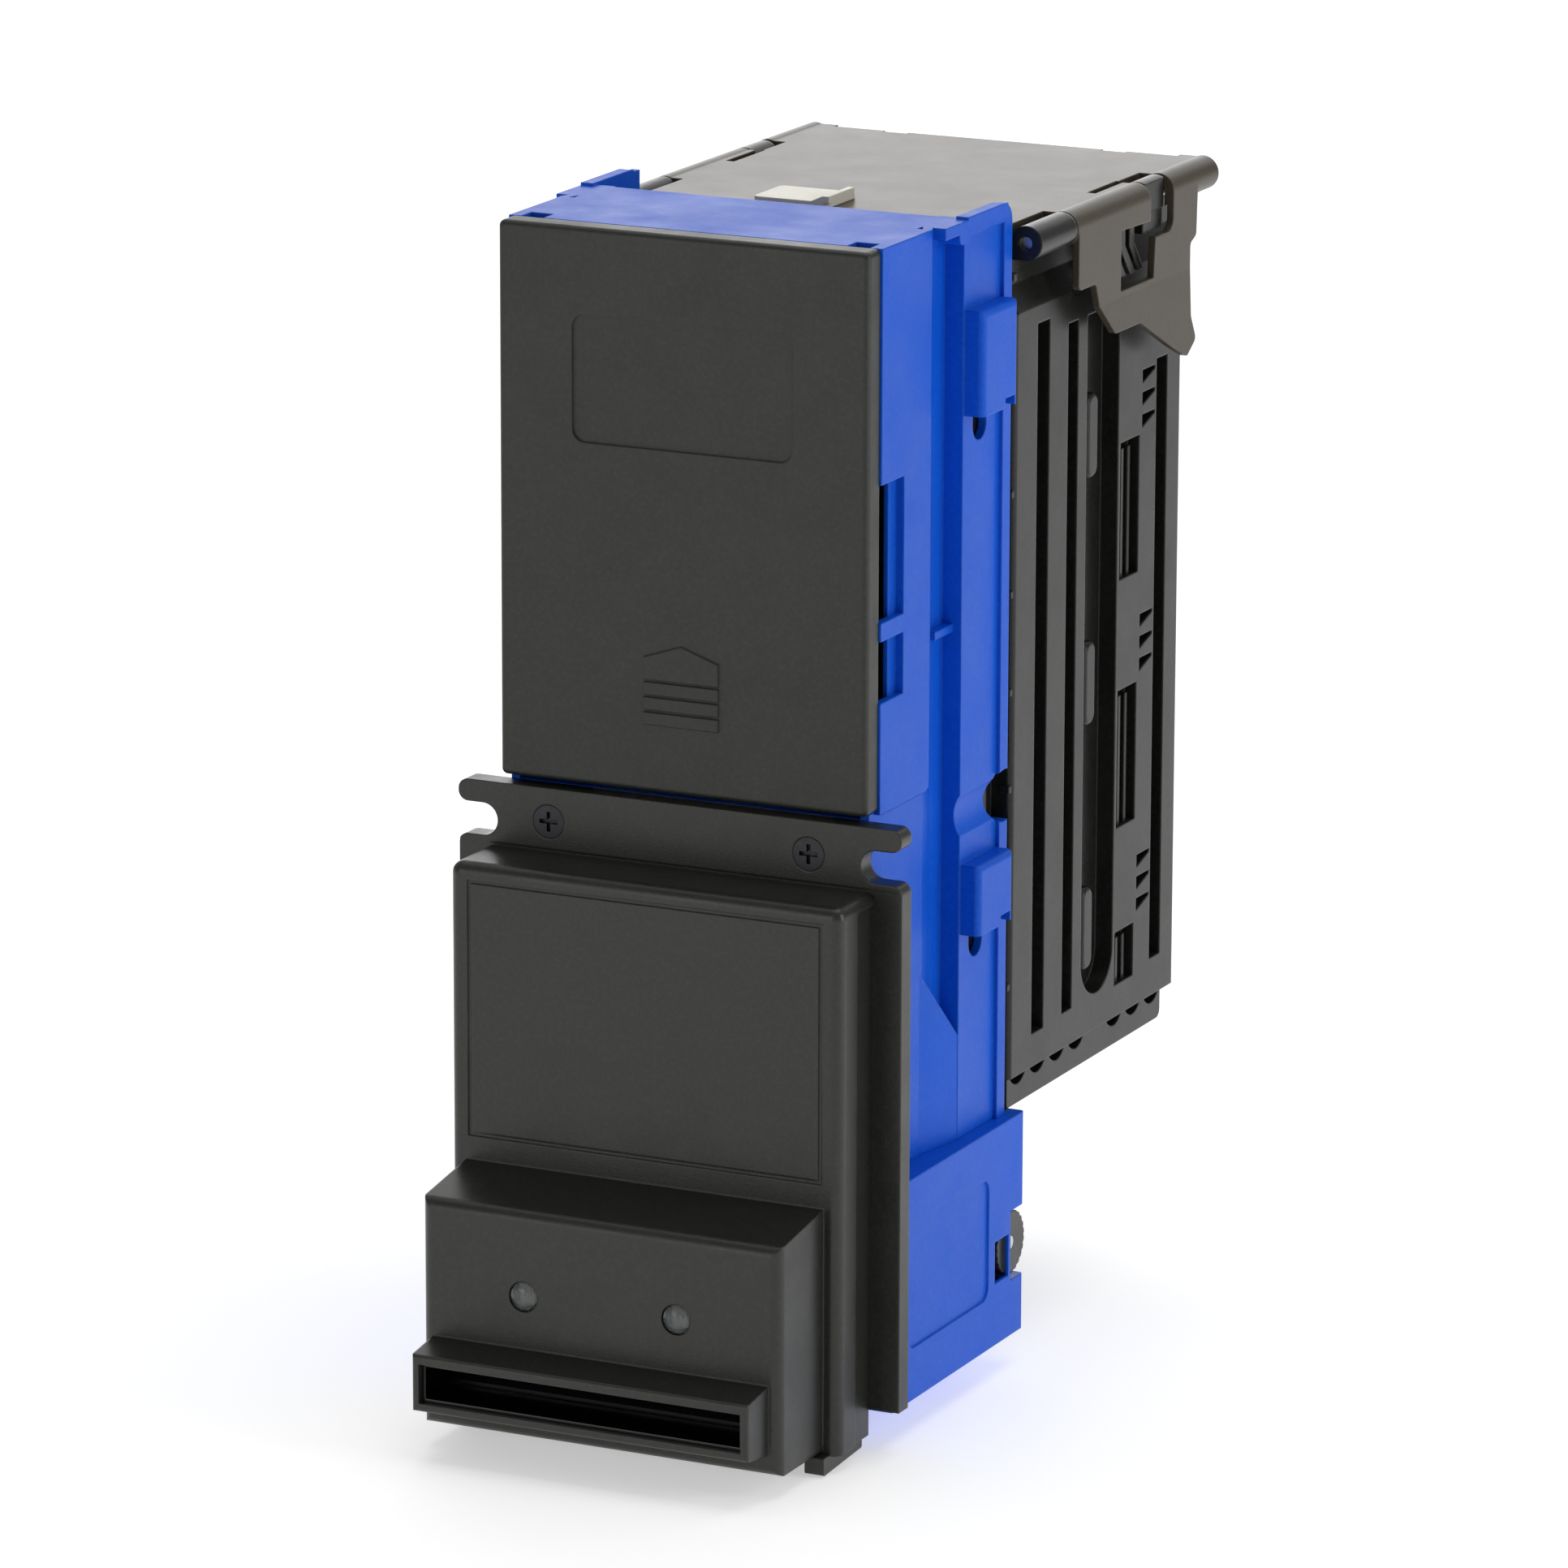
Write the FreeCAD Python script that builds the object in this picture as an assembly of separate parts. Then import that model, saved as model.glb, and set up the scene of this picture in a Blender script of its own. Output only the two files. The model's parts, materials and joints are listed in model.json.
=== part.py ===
"""Banknote acceptor with an up-stacker and a lift-off cash box, for a vending machine door.

Millimetres. X points to the right seen from the customer's side, Y runs back into the machine
and Z is up. Depths are written from the rear face of the mounting flange and heights from the
underside of the bezel. Every piece is then moved so that the origin lies on the front face of the
flange, which seats on the machine's door, midway between the two mounting slots.
"""
import FreeCAD, Part
import math
import os

V = FreeCAD.Vector

# ---- Fits -----------------------------------------------------------------------------------
shaft_clearance = 0.05     # radial, between a turning shaft and its hole
slide_clearance = 0.4      # between sliding faces
seat_gap = 0.3             # between a piece and the seat it is lifted off
tooth_clearance = 0.1      # between the teeth of two gears and the rack
past = 1.0                 # how far a cutting tool runs past the face it cuts
weld = 0.5                 # how far two joined features of one moulding run into each other

# ---- Mounting flange ------------------------------------------------------------------------
flange_width = 108.0
flange_thickness = 5.2
flange_bottom = 6.0
flange_top = 138.0
strip_bottom = 124.2       # below this height the plate is one step thinner
strip_step = 0.4
slot_height = 129.3
slot_width = 7.4
slot_end_x = 44.3          # deepest point of each open slot
ear_radius = 2.3
bezel_screw_x = 31.7
bezel_screw_z = 130.4
bezel_screw_radius = 2.0
screw_head_radius = 3.8
screw_head_depth = 2.2
screw_cross_half = 2.2     # half length of each arm of the cross recess
screw_cross_width = 0.9

# ---- Bezel ----------------------------------------------------------------------------------
block_width = 95.4
block_height = 123.6
block_front_y = -22.0
block_side_step = 1.0      # the rear half of each side is set in by this much
block_step_y = -13.5
nose_width = 87.4
nose_front_y = -43.5
nose_bottom = 1.1
nose_front_top = 52.8
nose_rear_top = 56.4
ridge_width = 81.8
ridge_front_y = -53.7
ridge_bottom = 7.4
ridge_top = 20.2
ridge_root = 1.6           # how much taller the ridge is above and below where it meets the nose
bezel_wall = 2.4
bezel_round = 2.6
panel_groove_x = 43.2
panel_groove_bottom = 61.5
panel_groove_top = 120.0
panel_groove_width = 0.9
panel_groove_depth = 0.45
foot_rib_depth = 3.6
foot_rib_length = 20.6
foot_rib_inner_x = 41.0
foot_rib_outer_x = 45.6
ridge_round = 0.8

# ---- Note path ------------------------------------------------------------------------------
mouth_width = 78.4
mouth_bottom = 9.2
mouth_top = 18.2
mouth_wall = 0.8
mouth_setback = 1.6         # how far the lining starts behind the front of the ridge
path_bottom = 13.4         # top face of the lower guide
path_top = 14.8            # bottom face of the upper guide
guide_thickness = 1.8
guide_half_width = 40.5
guide_split_y = 5.0        # where the flat guides end and the turn begins
sensor_board_z = path_top + guide_thickness + 4.0
sensor_board_half_width = 36.0
sensor_board_front_y = -37.0
sensor_board_rear_y = -19.0
lens_x = 18.6
lens_z = 33.6
lens_radius = 3.4
lens_stand_out = 0.7
lens_collar = 0.9          # how far the lens's collar reaches past its body
indicator_board_y = nose_front_y + bezel_wall + 2.6
indicator_half_width = 27.0
indicator_half_height = 6.0
led_half_size = 1.8
led_height = 1.4
small_board = 1.6          # thickness of the two small circuit boards

# ---- Service cover --------------------------------------------------------------------------
cover_side_reveal = 0.4    # the cover is this much narrower than the housing at each side
cover_front_y = -3.3
cover_rear_y = 2.5
cover_bottom = 139.4
cover_wall = 2.2
cover_round = 1.4
label_width = 53.0
label_bottom = 216.1
label_top = 244.4
label_depth = 0.6
arrow_half_width = 9.1
arrow_tip = 172.9
arrow_shoulder = 169.8
arrow_base = 164.9
arrow_relief = 0.5
arrow_ribs = (164.3, 160.9, 157.5)   # top edges
arrow_rib_height = 2.8
hook_neck_x = 36.9
hook_neck_width = 1.7
hook_foot_width = 3.0
hook_bottom = 146.0
hook_end_gap = 7.6         # from the top of the cover down to the top of its hooks
hook_foot_thickness = 1.8
label_corner = 3.0

# ---- Upper housing --------------------------------------------------------------------------
housing_half_width = 45.0
housing_wall = 2.0
housing_top = 263.6
lower_half_width = housing_half_width - 1.4    # set in below the level of the flange
waist = 139.3
housing_front_y = 2.9
roof_rear_y = 43.0
groove_front_y = 28.0
groove_floor_x = housing_half_width - 3.4
groove_floor_y = 36.0
rail_front_y = 41.8
rail_outer_x = housing_half_width + 1.3
rail_rear_y = 65.0
rail_top = housing_top + 0.6
rim_height = 1.0
rim_width = 4.2
rail_lip_depth = 1.7
rail_lip_length = 3.6
groove_end = 79.0
groove_taper_top = 97.0
groove_web_z = 171.4       # small web across the groove
lip_inner_x = housing_half_width - 5.8
lip_thickness = 2.3
clip_outer_x = rail_outer_x + 4.8
clip_front_y = rail_front_y + 0.4
clip_rear_y = clip_front_y + 18.2
clip_spans = ((220.0, 243.5), (102.5, 118.5))
clip_shell = 1.7
clip_roof = 4.0
clip_notch = (11.5, 16.5)  # from the front of the clip
clip_notch_height = 2.2
clip_hole_radius = 3.6
finger_notch_z = 129.8
finger_notch_radius = 6.0
finger_scoop_radius = 8.0
finger_scoop_depth = 1.5
side_window_rear_y = 14.4
side_window_floor_y = 10.6 # behind this depth the window has a floor, in front it is open
side_window_bottom = 163.6
side_window_top = 211.9
side_window_bar = (177.3, 181.4)
side_window_floor = 1.1    # thickness of that floor inside the wall
side_rib = (16.5, 21.0, 76.0)    # front, rear and top of the rib low on the side

# ---- Lower housing --------------------------------------------------------------------------
head_half_width = 50.1
head_front_y = 0.3
head_rear_y = 70.0
head_bottom = 4.0
head_top = 55.2
head_wall = 2.0
thin_skin = 0.9            # what is left of the side wall beside the thumbwheel
thin_skin_end_y = 62.9
side_frame_inner_x = 42.4
side_frame_thickness = 2.0
side_frame_front_y = -18.0
side_frame_rear_y = 67.6
side_frame_arm_top = 32.0
frame_screw_places = ((6.5, 12.0), (60.0, 12.0), (31.0, 49.0))    # (y, z) on each side
frame_screw_radius = 1.25
frame_screw_head_radius = 2.4
frame_screw_head = 1.6
frame_screw_length = 5.4
frame_boss_radius = 3.0
side_recess = (8.2, 51.0, 16.0, 44.2)    # front, rear, bottom and top
side_hole = (54.4, 61.8, 18.5, 28.3)     # the same for the small hole behind it

# ---- Drive ----------------------------------------------------------------------------------
gear_module = 0.8
drum_y = 24.6
drum_z = 33.4
belt_line_radius = 18.6    # outside of the belt on the turning drums
belt_thickness = 0.8
belt_inner_x = 31.0
belt_width = 6.0
belt_gap = 0.2             # between a belt and the drum it wraps
head_pulley_radius = 4.5
head_pulley_z = housing_top - 27.6
feed_shaft_y = -8.0
feed_shaft_z = 22.4
feed_roller_radius = 8.2
pinch_shaft_z = 9.1
pinch_roller_radius = 4.9
roller_inner_x = 18.0
roller_width = 10.0
thumbwheel_y = 65.4
thumbwheel_z = 25.2
thumbwheel_radius = 7.4
thumbwheel_inner_x = 45.4
thumbwheel_width = 3.6
drum_teeth = 30
idler_teeth = 29
thumb_teeth = 16
motor_teeth = 10
motor_angle = 53.6         # degrees, direction from the idler to the transport motor
motor_radius = 8.5
motor_shaft_radius = 1.5
feed_pulley_radius = 4.5
feed_shaft_radius = 2.0
pinch_shaft_radius = 1.5
drum_shaft_radius = 2.5
idler_stud_radius = 2.0
thumb_shaft_radius = 1.5
head_shaft_radius = 2.0
train_gear_width = 3.0
timing_belt_width = 3.0
timing_inset = 1.7         # the timing belt starts this far inside the edge of the guides
centre_drum_half_width = 14.0
motor_length = 27.0
thumbwheel_flutes = 24
flute_radius = 0.6

# ---- Stacker --------------------------------------------------------------------------------
stacker_stroke = 14.0
push_plate_half_width = 26.8
push_plate_bottom = 90.0
push_plate_top = housing_top - 38.6
push_plate_rear_y = 39.6
push_plate_thickness = 2.4
path_plate_front_y = 41.2
path_plate_thickness = 1.6
pinion_y = 28.0
pinion_z = 150.0
pinion_teeth = 15
rack_inner_x = 16.6
rack_width = 5.0
rack_height = 3.4
stacker_gear_teeth = 20
stacker_motor_teeth = 12
stacker_motor_y = 23.0
stacker_motor_radius = 9.0
stacker_side_x = 28.2
stacker_sheet = 1.5
stacker_board_gap = 1.4    # between the main board and the stacker's frame
stacker_shaft_radius = 2.0
stacker_motor_shaft_radius = 1.0
stacker_motor_half_length = 14.0
pinion_width = 4.0
push_rib_x = 12.0

# ---- Electronics ----------------------------------------------------------------------------
board_front_y = 9.0
board_thickness = 1.6
board_half_width = 36.0
board_bottom = 146.0
board_top = housing_top - 7.6
board_screw_inset = 4.0
board_screw_x = board_half_width - board_screw_inset + 2.2
board_screw_radius = 1.2
chip_places = ((-9, 9, 206, 224, 1.6), (14, 24, 212, 219, 1.4), (-27, -17, 208, 215, 1.4),
               (-6, 4, 186, 192, 1.4))             # x0, x1, z0, z1 and height
capacitor_places = ((-26, 164), (-26, 178), (24, 236))
capacitor_radius = 4.0
component_height = 6.0     # of the capacitors and of the plug headers
header_places = ((-20, 6, 248, 254), (-8, 22, 150, 156), (12, 30, 168, 174))
header_wall = 0.9

# ---- Cash box -------------------------------------------------------------------------------
box_half_width = rail_outer_x + 0.9
box_gap = 2.7              # between the rails and the wide part of the cash box
box_front_y = rail_rear_y + box_gap
box_rear_y = 161.0
box_bottom = 62.4
box_wall = 2.2
box_shoulder_x = box_half_width - 2.6
box_inner_x = box_shoulder_x - box_wall
lid_top = housing_top - 5.8
lid_thickness = 2.4
box_rim = lid_top - lid_thickness - seat_gap
hinge_radius = 3.9
hinge_z = lid_top - hinge_radius + 0.3
box_shoulder = hinge_z - 16.2    # above this height the walls are set in under the barrels
shoulder_rise = 6.0        # height over which the wall leans in
throat_half_width = rail_outer_x - housing_wall - rail_lip_depth - 0.6
throat_front_y = rail_front_y + 4.2
throat_top = housing_top - 13.6
throat_wall = 2.4
throat_drop = 4.0          # how far the throat hangs below the main floor
runner_reach = rail_lip_depth + 0.3
runner_front_y = throat_front_y + 3.5
window_half_width = push_plate_half_width + 2.2
window_bottom = push_plate_bottom - 2.0
window_top = push_plate_top + 3.0
base_half_width = box_half_width - 0.8
base_bottom = head_top + seat_gap
base_rear_y = box_rear_y - 6.0
base_round = 2.0
tooth_heights = (84.1, 130.0, 152.3, 174.7, 197.5, 246.5)
tooth_half_size = 0.8
relief_depth = 3.2
relief_grooves = ((79.6, 86.2, 70.2, 234.0), (96.4, 102.0, 70.8, 231.0),
                  (146.4, 152.6, 71.5, 214.0))     # front, rear, bottom and top
channel_front_y = 107.0
channel_rear_y = 125.0
channel_bottom = 80.0
channel_top = 231.0
channel_depth = 4.4
channel_wall = 1.6         # behind the channel, standing a little into the box
channel_boss = (109.6, 115.8)                      # front and rear of each boss in the channel
channel_boss_drop = 0.8    # how far the bosses stay behind the face of the wall
channel_boss_round = 2.8
channel_boss_edge = 1.2
channel_boss_bottoms = (77.0, 134.8, 192.4)
channel_boss_height = 19.8
wall_slot_y = (126.2, 137.0)
wall_slot_spans = ((166.0, 198.0), (107.5, 140.0), (70.0, 82.6))
wall_slot_depth = 3.0
wall_slot_ribs = (129.4, 133.2)
wall_slot_rib = 1.4
wall_slot_rib_drop = 1.2
louvre_y = (138.4, 145.6)
louvre_depth = 2.2
louvre_bottoms = (85.0, 142.2, 199.4)
louvre_pitch = 5.2
louvre_height = 3.0
grip_first_y = 74.0
grip_pitch = 10.8
grip_numbers = (0, 1, 2, 3, 5, 6, 7)
grip_radius = 5.4
grip_rise = 3.0            # centre of each grip above the tray
grip_depth = 2.2
plate_rest_y = push_plate_rear_y + stacker_stroke + 1.0
plate_half_width = throat_half_width - throat_wall - 1.0
plate_thickness = 2.4
spring_radius = 11.0
spring_spread = 45.0       # from the middle of the plate to each spring
spring_wire_radius = 0.7
spring_turns = 9

# ---- Cash box lid ---------------------------------------------------------------------------
lid_half_width = box_shoulder_x
lid_front_y = box_front_y + 0.2
lid_rear_y = box_rear_y + 4.0
hinge_x = box_shoulder_x + hinge_radius + 0.8
hinge_pin_radius = 1.5
hinge_front_y = lid_front_y
hinge_rear_y = lid_rear_y + 2.0
hinge_gap = 0.6            # between neighbouring barrels
first_barrel_end = 87.0
second_barrel_end = 128.0
third_barrel_end = 139.4
box_knuckles = ((hinge_front_y, first_barrel_end),
                (second_barrel_end + hinge_gap, third_barrel_end))
lid_knuckles = ((first_barrel_end + hinge_gap, second_barrel_end),
                (third_barrel_end + hinge_gap + 1.0, hinge_rear_y))
knuckle_bracket_drop = 8.0 # how far the bracket under the second box barrel reaches down
flap_thickness = 1.6
flap_front_y = 88.2
flap_rear_y = 151.0
flap_fold_drop = 19.6      # from the hinge line down to where the lip starts to lean out
flap_lip_drop = 39.0
flap_lip_lean = 1.0
flap_corner = 1.4
tab_left_x = -18.0
tab_right_x = 0.8
tab_front_y = 68.6
tab_rear_y = 83.5
tab_travel = 4.0


# ---- Small tools ----------------------------------------------------------------------------
def box(x0, x1, y0, y1, z0, z1):
    return Part.makeBox(x1 - x0, y1 - y0, z1 - z0, V(x0, y0, z0))


def cyl_x(x0, x1, y, z, radius):
    return Part.makeCylinder(radius, x1 - x0, V(x0, y, z), V(1, 0, 0))


def cyl_y(x, y0, y1, z, radius):
    return Part.makeCylinder(radius, y1 - y0, V(x, y0, z), V(0, 1, 0))


def cone_y(x, y0, y1, z, radius0, radius1):
    return Part.makeCone(radius0, radius1, y1 - y0, V(x, y0, z), V(0, 1, 0))


def ring_x(x0, x1, y, z, outer, inner):
    return cyl_x(x0, x1, y, z, outer).cut(cyl_x(x0 - 1, x1 + 1, y, z, inner))


def face_of(points):
    return Part.Face(Part.makePolygon(points + [points[0]]))


def prism_x(profile, x0, x1):
    """Extrude a (y, z) outline from x0 to x1."""
    return face_of([V(x0, y, z) for y, z in profile]).extrude(V(x1 - x0, 0, 0))


def prism_y(profile, y0, y1):
    """Extrude an (x, z) outline from y0 to y1."""
    return face_of([V(x, y0, z) for x, z in profile]).extrude(V(0, y1 - y0, 0))


def prism_z(profile, z0, z1):
    """Extrude an (x, y) outline from z0 to z1."""
    return face_of([V(x, y, z0) for x, y in profile]).extrude(V(0, 0, z1 - z0))


def join(shapes):
    return shapes[0].multiFuse(shapes[1:]).removeSplitter()


def remove(shape, cutters):
    return shape.cut(Part.makeCompound(cutters)) if len(cutters) == 1 else shape.cut(cutters)


def mirror_x(shape):
    return shape.mirror(V(0, 0, 0), V(1, 0, 0))


def both_sides(shapes):
    return shapes + [mirror_x(shape) for shape in shapes]


def runs_along(edge, axis):
    size = edge.BoundBox
    spans = {"x": size.XLength, "y": size.YLength, "z": size.ZLength}
    return all(span < 1e-6 for name, span in spans.items() if name != axis)


def rounded(shape, radius, chosen):
    """Round the straight edges that the test picks out by direction and middle point."""
    edges = [edge for edge in shape.Edges
             if any(runs_along(edge, axis) and chosen(axis, edge.BoundBox.Center) for axis in "xyz")]
    return shape.makeFillet(radius, edges)


def export(name, solids):
    """Write one node; the origin moves to the slot line on the flange's front face."""
    pieces = [solid for shape in solids for solid in shape.Solids]
    shape = pieces[0] if len(pieces) == 1 else Part.makeCompound(pieces)
    shape = shape.copy()
    shape.translate(V(0, flange_thickness, -slot_height))
    shape.exportStep("parts/" + name + ".step")


# ---- Mounting flange and bezel --------------------------------------------------------------
def make_flange_plate():
    half = flange_width / 2
    front = -flange_thickness
    plate = box(-half, half, front + strip_step, 0, flange_bottom, flange_top)
    strip = box(-half, half, front, 0, strip_bottom, flange_top)
    plate = join([plate, strip])
    centre_x = slot_end_x + slot_width / 2
    slots = [cyl_y(centre_x, front - 1, 1, slot_height, slot_width / 2),
             box(centre_x, half + 1, front - 1, 1,
                 slot_height - slot_width / 2, slot_height + slot_width / 2)]
    opening = box(-frame_opening_half(), frame_opening_half(), front - 1, 1,
                  flange_bottom - 1, strip_bottom - 8)
    screws = [cyl_y(bezel_screw_x, front - 1, 1, bezel_screw_z, bezel_screw_radius + 0.3),
              cone_y(bezel_screw_x, front - 0.01, front + screw_head_depth, bezel_screw_z,
                     screw_head_radius + 0.1, bezel_screw_radius)]
    plate = remove(plate, both_sides(slots) + both_sides(screws) + [opening])
    return rounded(plate, ear_radius,
                   lambda axis, c: axis == "y" and abs(c.x) > half - 0.1 and c.z > strip_bottom)


def frame_opening_half():
    """Half width of the opening that the side frames and guides pass through."""
    return side_frame_inner_x + side_frame_thickness + 0.9


def make_front_bezel():
    half_block = block_width / 2
    half_nose = nose_width / 2
    half_ridge = ridge_width / 2
    rear = -flange_thickness + strip_step
    block = box(-half_block, half_block, block_front_y, rear, 0, block_height)
    block = rounded(block, bezel_round,
                    lambda axis, c: (c.y < block_front_y + 0.1 and c.z > 1)
                    or (axis == "y" and c.z > 1))
    steps = [box(half_block - block_side_step, half_block + 1, block_step_y, rear + 1,
                 -1, block_height - bezel_round)]
    block = remove(block, both_sides(steps))
    nose = prism_x([(block_front_y + 2, nose_bottom), (nose_front_y, nose_bottom),
                    (nose_front_y, nose_front_top), (block_front_y + 2, nose_rear_top)],
                   -half_nose, half_nose)
    nose = rounded(nose, bezel_round, lambda axis, c: c.y < nose_front_y + 0.1)
    ridge = prism_x([(nose_front_y + 1, ridge_bottom - ridge_root), (ridge_front_y, ridge_bottom),
                     (ridge_front_y, ridge_top), (nose_front_y + 1, ridge_top + ridge_root)],
                    -half_ridge, half_ridge)
    ridge = rounded(ridge, ridge_round, lambda axis, c: c.y < ridge_front_y + 0.1)
    foot = prism_x([(rear - 1, weld), (rear - foot_rib_length, weld),
                    (rear - foot_rib_length, -foot_rib_depth), (rear - 1, -foot_rib_depth + 1)],
                   foot_rib_inner_x, foot_rib_outer_x)
    foot = rounded(foot, 0.6, lambda axis, c: axis == "x" and c.z < 0)
    shell = join([block, nose, ridge] + both_sides([foot]))

    wall = bezel_wall
    block_inside = box(-half_block + wall, half_block - wall, block_front_y + wall, rear + 1,
                       wall, block_height - wall)
    nose_inside = prism_x([(block_front_y + wall + 1, nose_bottom + wall),
                           (nose_front_y + wall, nose_bottom + wall),
                           (nose_front_y + wall, nose_front_top - wall),
                           (block_front_y + wall + 1, nose_rear_top - wall)],
                          -half_nose + wall, half_nose - wall)
    mouth = box(-mouth_width / 2, mouth_width / 2, ridge_front_y - 1, nose_front_y + wall + 1,
                mouth_bottom, mouth_top)
    lens_holes = both_sides([cyl_y(lens_x, nose_front_y - 1, nose_front_y + wall + 1, lens_z,
                                   lens_radius + 0.05)])
    groove_outer = box(-panel_groove_x, panel_groove_x, block_front_y - 1,
                       block_front_y + panel_groove_depth, panel_groove_bottom, panel_groove_top)
    groove_inner = box(-panel_groove_x + panel_groove_width, panel_groove_x - panel_groove_width,
                       block_front_y - 2, block_front_y + 1,
                       panel_groove_bottom + panel_groove_width,
                       panel_groove_top - panel_groove_width)
    shell = remove(shell, [block_inside, nose_inside, mouth, groove_outer.cut(groove_inner)]
                   + lens_holes)
    posts = both_sides([cyl_y(8.0, nose_front_y + wall - 0.5, indicator_board_y, lens_z, 2.2)])
    return join([shell] + posts)


def make_bezel_screws():
    """Countersunk cross-head screws that hold the flange to the housing."""
    front = -flange_thickness
    head = cone_y(bezel_screw_x, front + 0.05, front + screw_head_depth - 0.1, bezel_screw_z,
                  screw_head_radius, bezel_screw_radius)
    shank = cyl_y(bezel_screw_x, front + screw_head_depth - 0.2, head_front_y + 3.7,
                  bezel_screw_z, bezel_screw_radius)
    arm = screw_cross_half
    half = screw_cross_width / 2
    cross = [box(bezel_screw_x - arm, bezel_screw_x + arm, front - past, front + 1.2,
                 bezel_screw_z - half, bezel_screw_z + half),
             box(bezel_screw_x - half, bezel_screw_x + half, front - past, front + 1.2,
                 bezel_screw_z - arm, bezel_screw_z + arm)]
    return both_sides([remove(join([head, shank]), cross)])


def make_mouth_insert():
    """Glossy lining of the note mouth, with a flange that seats inside the nose."""
    gap = 0.1
    half = mouth_width / 2 - gap
    seat = nose_front_y + bezel_wall
    tube = box(-half, half, ridge_front_y + mouth_setback, seat + 0.5, mouth_bottom + gap, mouth_top - gap)
    collar = box(-half - 1.2, half + 1.2, seat, seat + 1.2, mouth_bottom - 1.2, mouth_top + 1.2)
    bore = box(-half + mouth_wall, half - mouth_wall, ridge_front_y, seat + 2,
               mouth_bottom + mouth_wall, mouth_top - mouth_wall)
    return remove(join([tube, collar]), [bore])


def make_lens(side):
    """Clear lens with a flange behind the nose's front wall."""
    x = side * lens_x
    seat = nose_front_y + bezel_wall
    body = cyl_y(x, nose_front_y - lens_stand_out, seat + 1.0, lens_z, lens_radius)
    collar = cyl_y(x, seat, seat + 1.0, lens_z, lens_radius + lens_collar)
    return join([body, collar])


def make_indicator_board():
    return box(-indicator_half_width, indicator_half_width, indicator_board_y,
               indicator_board_y + small_board, lens_z - indicator_half_height,
               lens_z + indicator_half_height)


def make_indicator_leds():
    return both_sides([box(lens_x - led_half_size, lens_x + led_half_size,
                           indicator_board_y - led_height, indicator_board_y,
                           lens_z - led_half_size, lens_z + led_half_size)])


# ---- Note guides and sensors ----------------------------------------------------------------
def roller_cutouts(z0, z1, half_length):
    return both_sides([box(roller_inner_x - 1, roller_inner_x + roller_width + 1,
                           feed_shaft_y - half_length, feed_shaft_y + half_length, z0, z1)])


def make_lower_note_guide():
    front = nose_front_y + bezel_wall + 1.5
    top = path_bottom
    plate = prism_x([(front, top - guide_thickness - 1.5), (front, top - 2.4), (front + 6, top),
                     (guide_split_y, top), (guide_split_y, top - guide_thickness),
                     (front + 6, top - guide_thickness)], -guide_half_width, guide_half_width)
    wings = both_sides([box(guide_half_width - 1, side_frame_inner_x, -16, 0,
                            top - guide_thickness, top)])
    return remove(join([plate] + wings), roller_cutouts(top - 5, top + 1, 5.0))


def make_upper_note_guide():
    front = nose_front_y + bezel_wall + 1.5
    bottom = path_top
    plate = prism_x([(front, bottom + guide_thickness + 0.6), (front, bottom + 1.8),
                     (front + 6, bottom), (guide_split_y - 4, bottom),
                     (guide_split_y - 4, bottom + guide_thickness),
                     (front + 6, bottom + guide_thickness)], -guide_half_width, guide_half_width)
    wings = both_sides([box(guide_half_width - 1, side_frame_inner_x, -16, 0,
                            bottom, bottom + guide_thickness)])
    posts = both_sides([box(29, 33, y, y + 4, bottom + 1, sensor_board_z) for y in (-35, -24)])
    return remove(join([plate] + wings + posts), roller_cutouts(bottom - 1, bottom + 5, 6.5))


def make_sensor_board():
    return box(-sensor_board_half_width, sensor_board_half_width, sensor_board_front_y,
               sensor_board_rear_y, sensor_board_z, sensor_board_z + small_board)


def make_optical_sensors():
    """Row of optical sensors hanging under the sensor board, just above the guide."""
    z = sensor_board_z
    xs = (-22.5, -13.5, -4.5, 4.5, 13.5, 22.5)
    return [box(x - 2, x + 2, -30, -26, z - 3.8, z) for x in xs]


def make_turn_guide():
    """Outer guide that turns the note upwards around the drums."""
    inner = belt_line_radius + (path_top - path_bottom)
    outer = inner + guide_thickness
    half = guide_half_width
    flat = box(-half, half, guide_split_y + 0.3, drum_y, drum_z - outer, drum_z - inner)
    ring = ring_x(-half, half, drum_y, drum_z, outer, inner)
    quarter = ring.common(box(-half, half, drum_y, drum_y + outer, drum_z - outer, drum_z))
    upright = box(-half, half, drum_y + inner, drum_y + outer, drum_z, head_top - seat_gap)
    tabs = both_sides([box(half - 1, side_frame_inner_x, 13, 21, drum_z - outer, drum_z - inner),
                       box(half - 1, side_frame_inner_x, drum_y + inner, drum_y + outer, 38, 46)])
    return join([flat, quarter, upright] + tabs)


# ---- Side frames ----------------------------------------------------------------------------
def make_side_frame():
    """Right-hand steel plate that carries the shafts of the transport."""
    x0 = side_frame_inner_x
    x1 = x0 + side_frame_thickness
    low = head_bottom + head_wall + 1.0
    high = head_top - head_wall - 1.2
    plate = prism_x([(side_frame_front_y, pinch_shaft_z - 4.5), (-3, pinch_shaft_z - 4.5), (-0.4, low),
                     (side_frame_rear_y, low), (side_frame_rear_y, high), (4, high),
                     (0, side_frame_arm_top), (side_frame_front_y, side_frame_arm_top)], x0, x1)
    holes = [cyl_x(x0 - 1, x1 + 1, y, z, radius + shaft_clearance)
             for y, z, radius in shaft_places()]
    motor_y, motor_z = motor_place()
    holes.append(cyl_x(x0 - 1, x1 + 1, motor_y, motor_z, motor_shaft_radius + 0.7))
    screws = [cyl_x(x0 - past, x1 + past, y, z, frame_screw_radius) for y, z in frame_screw_places]
    return remove(plate, holes + screws)


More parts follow.
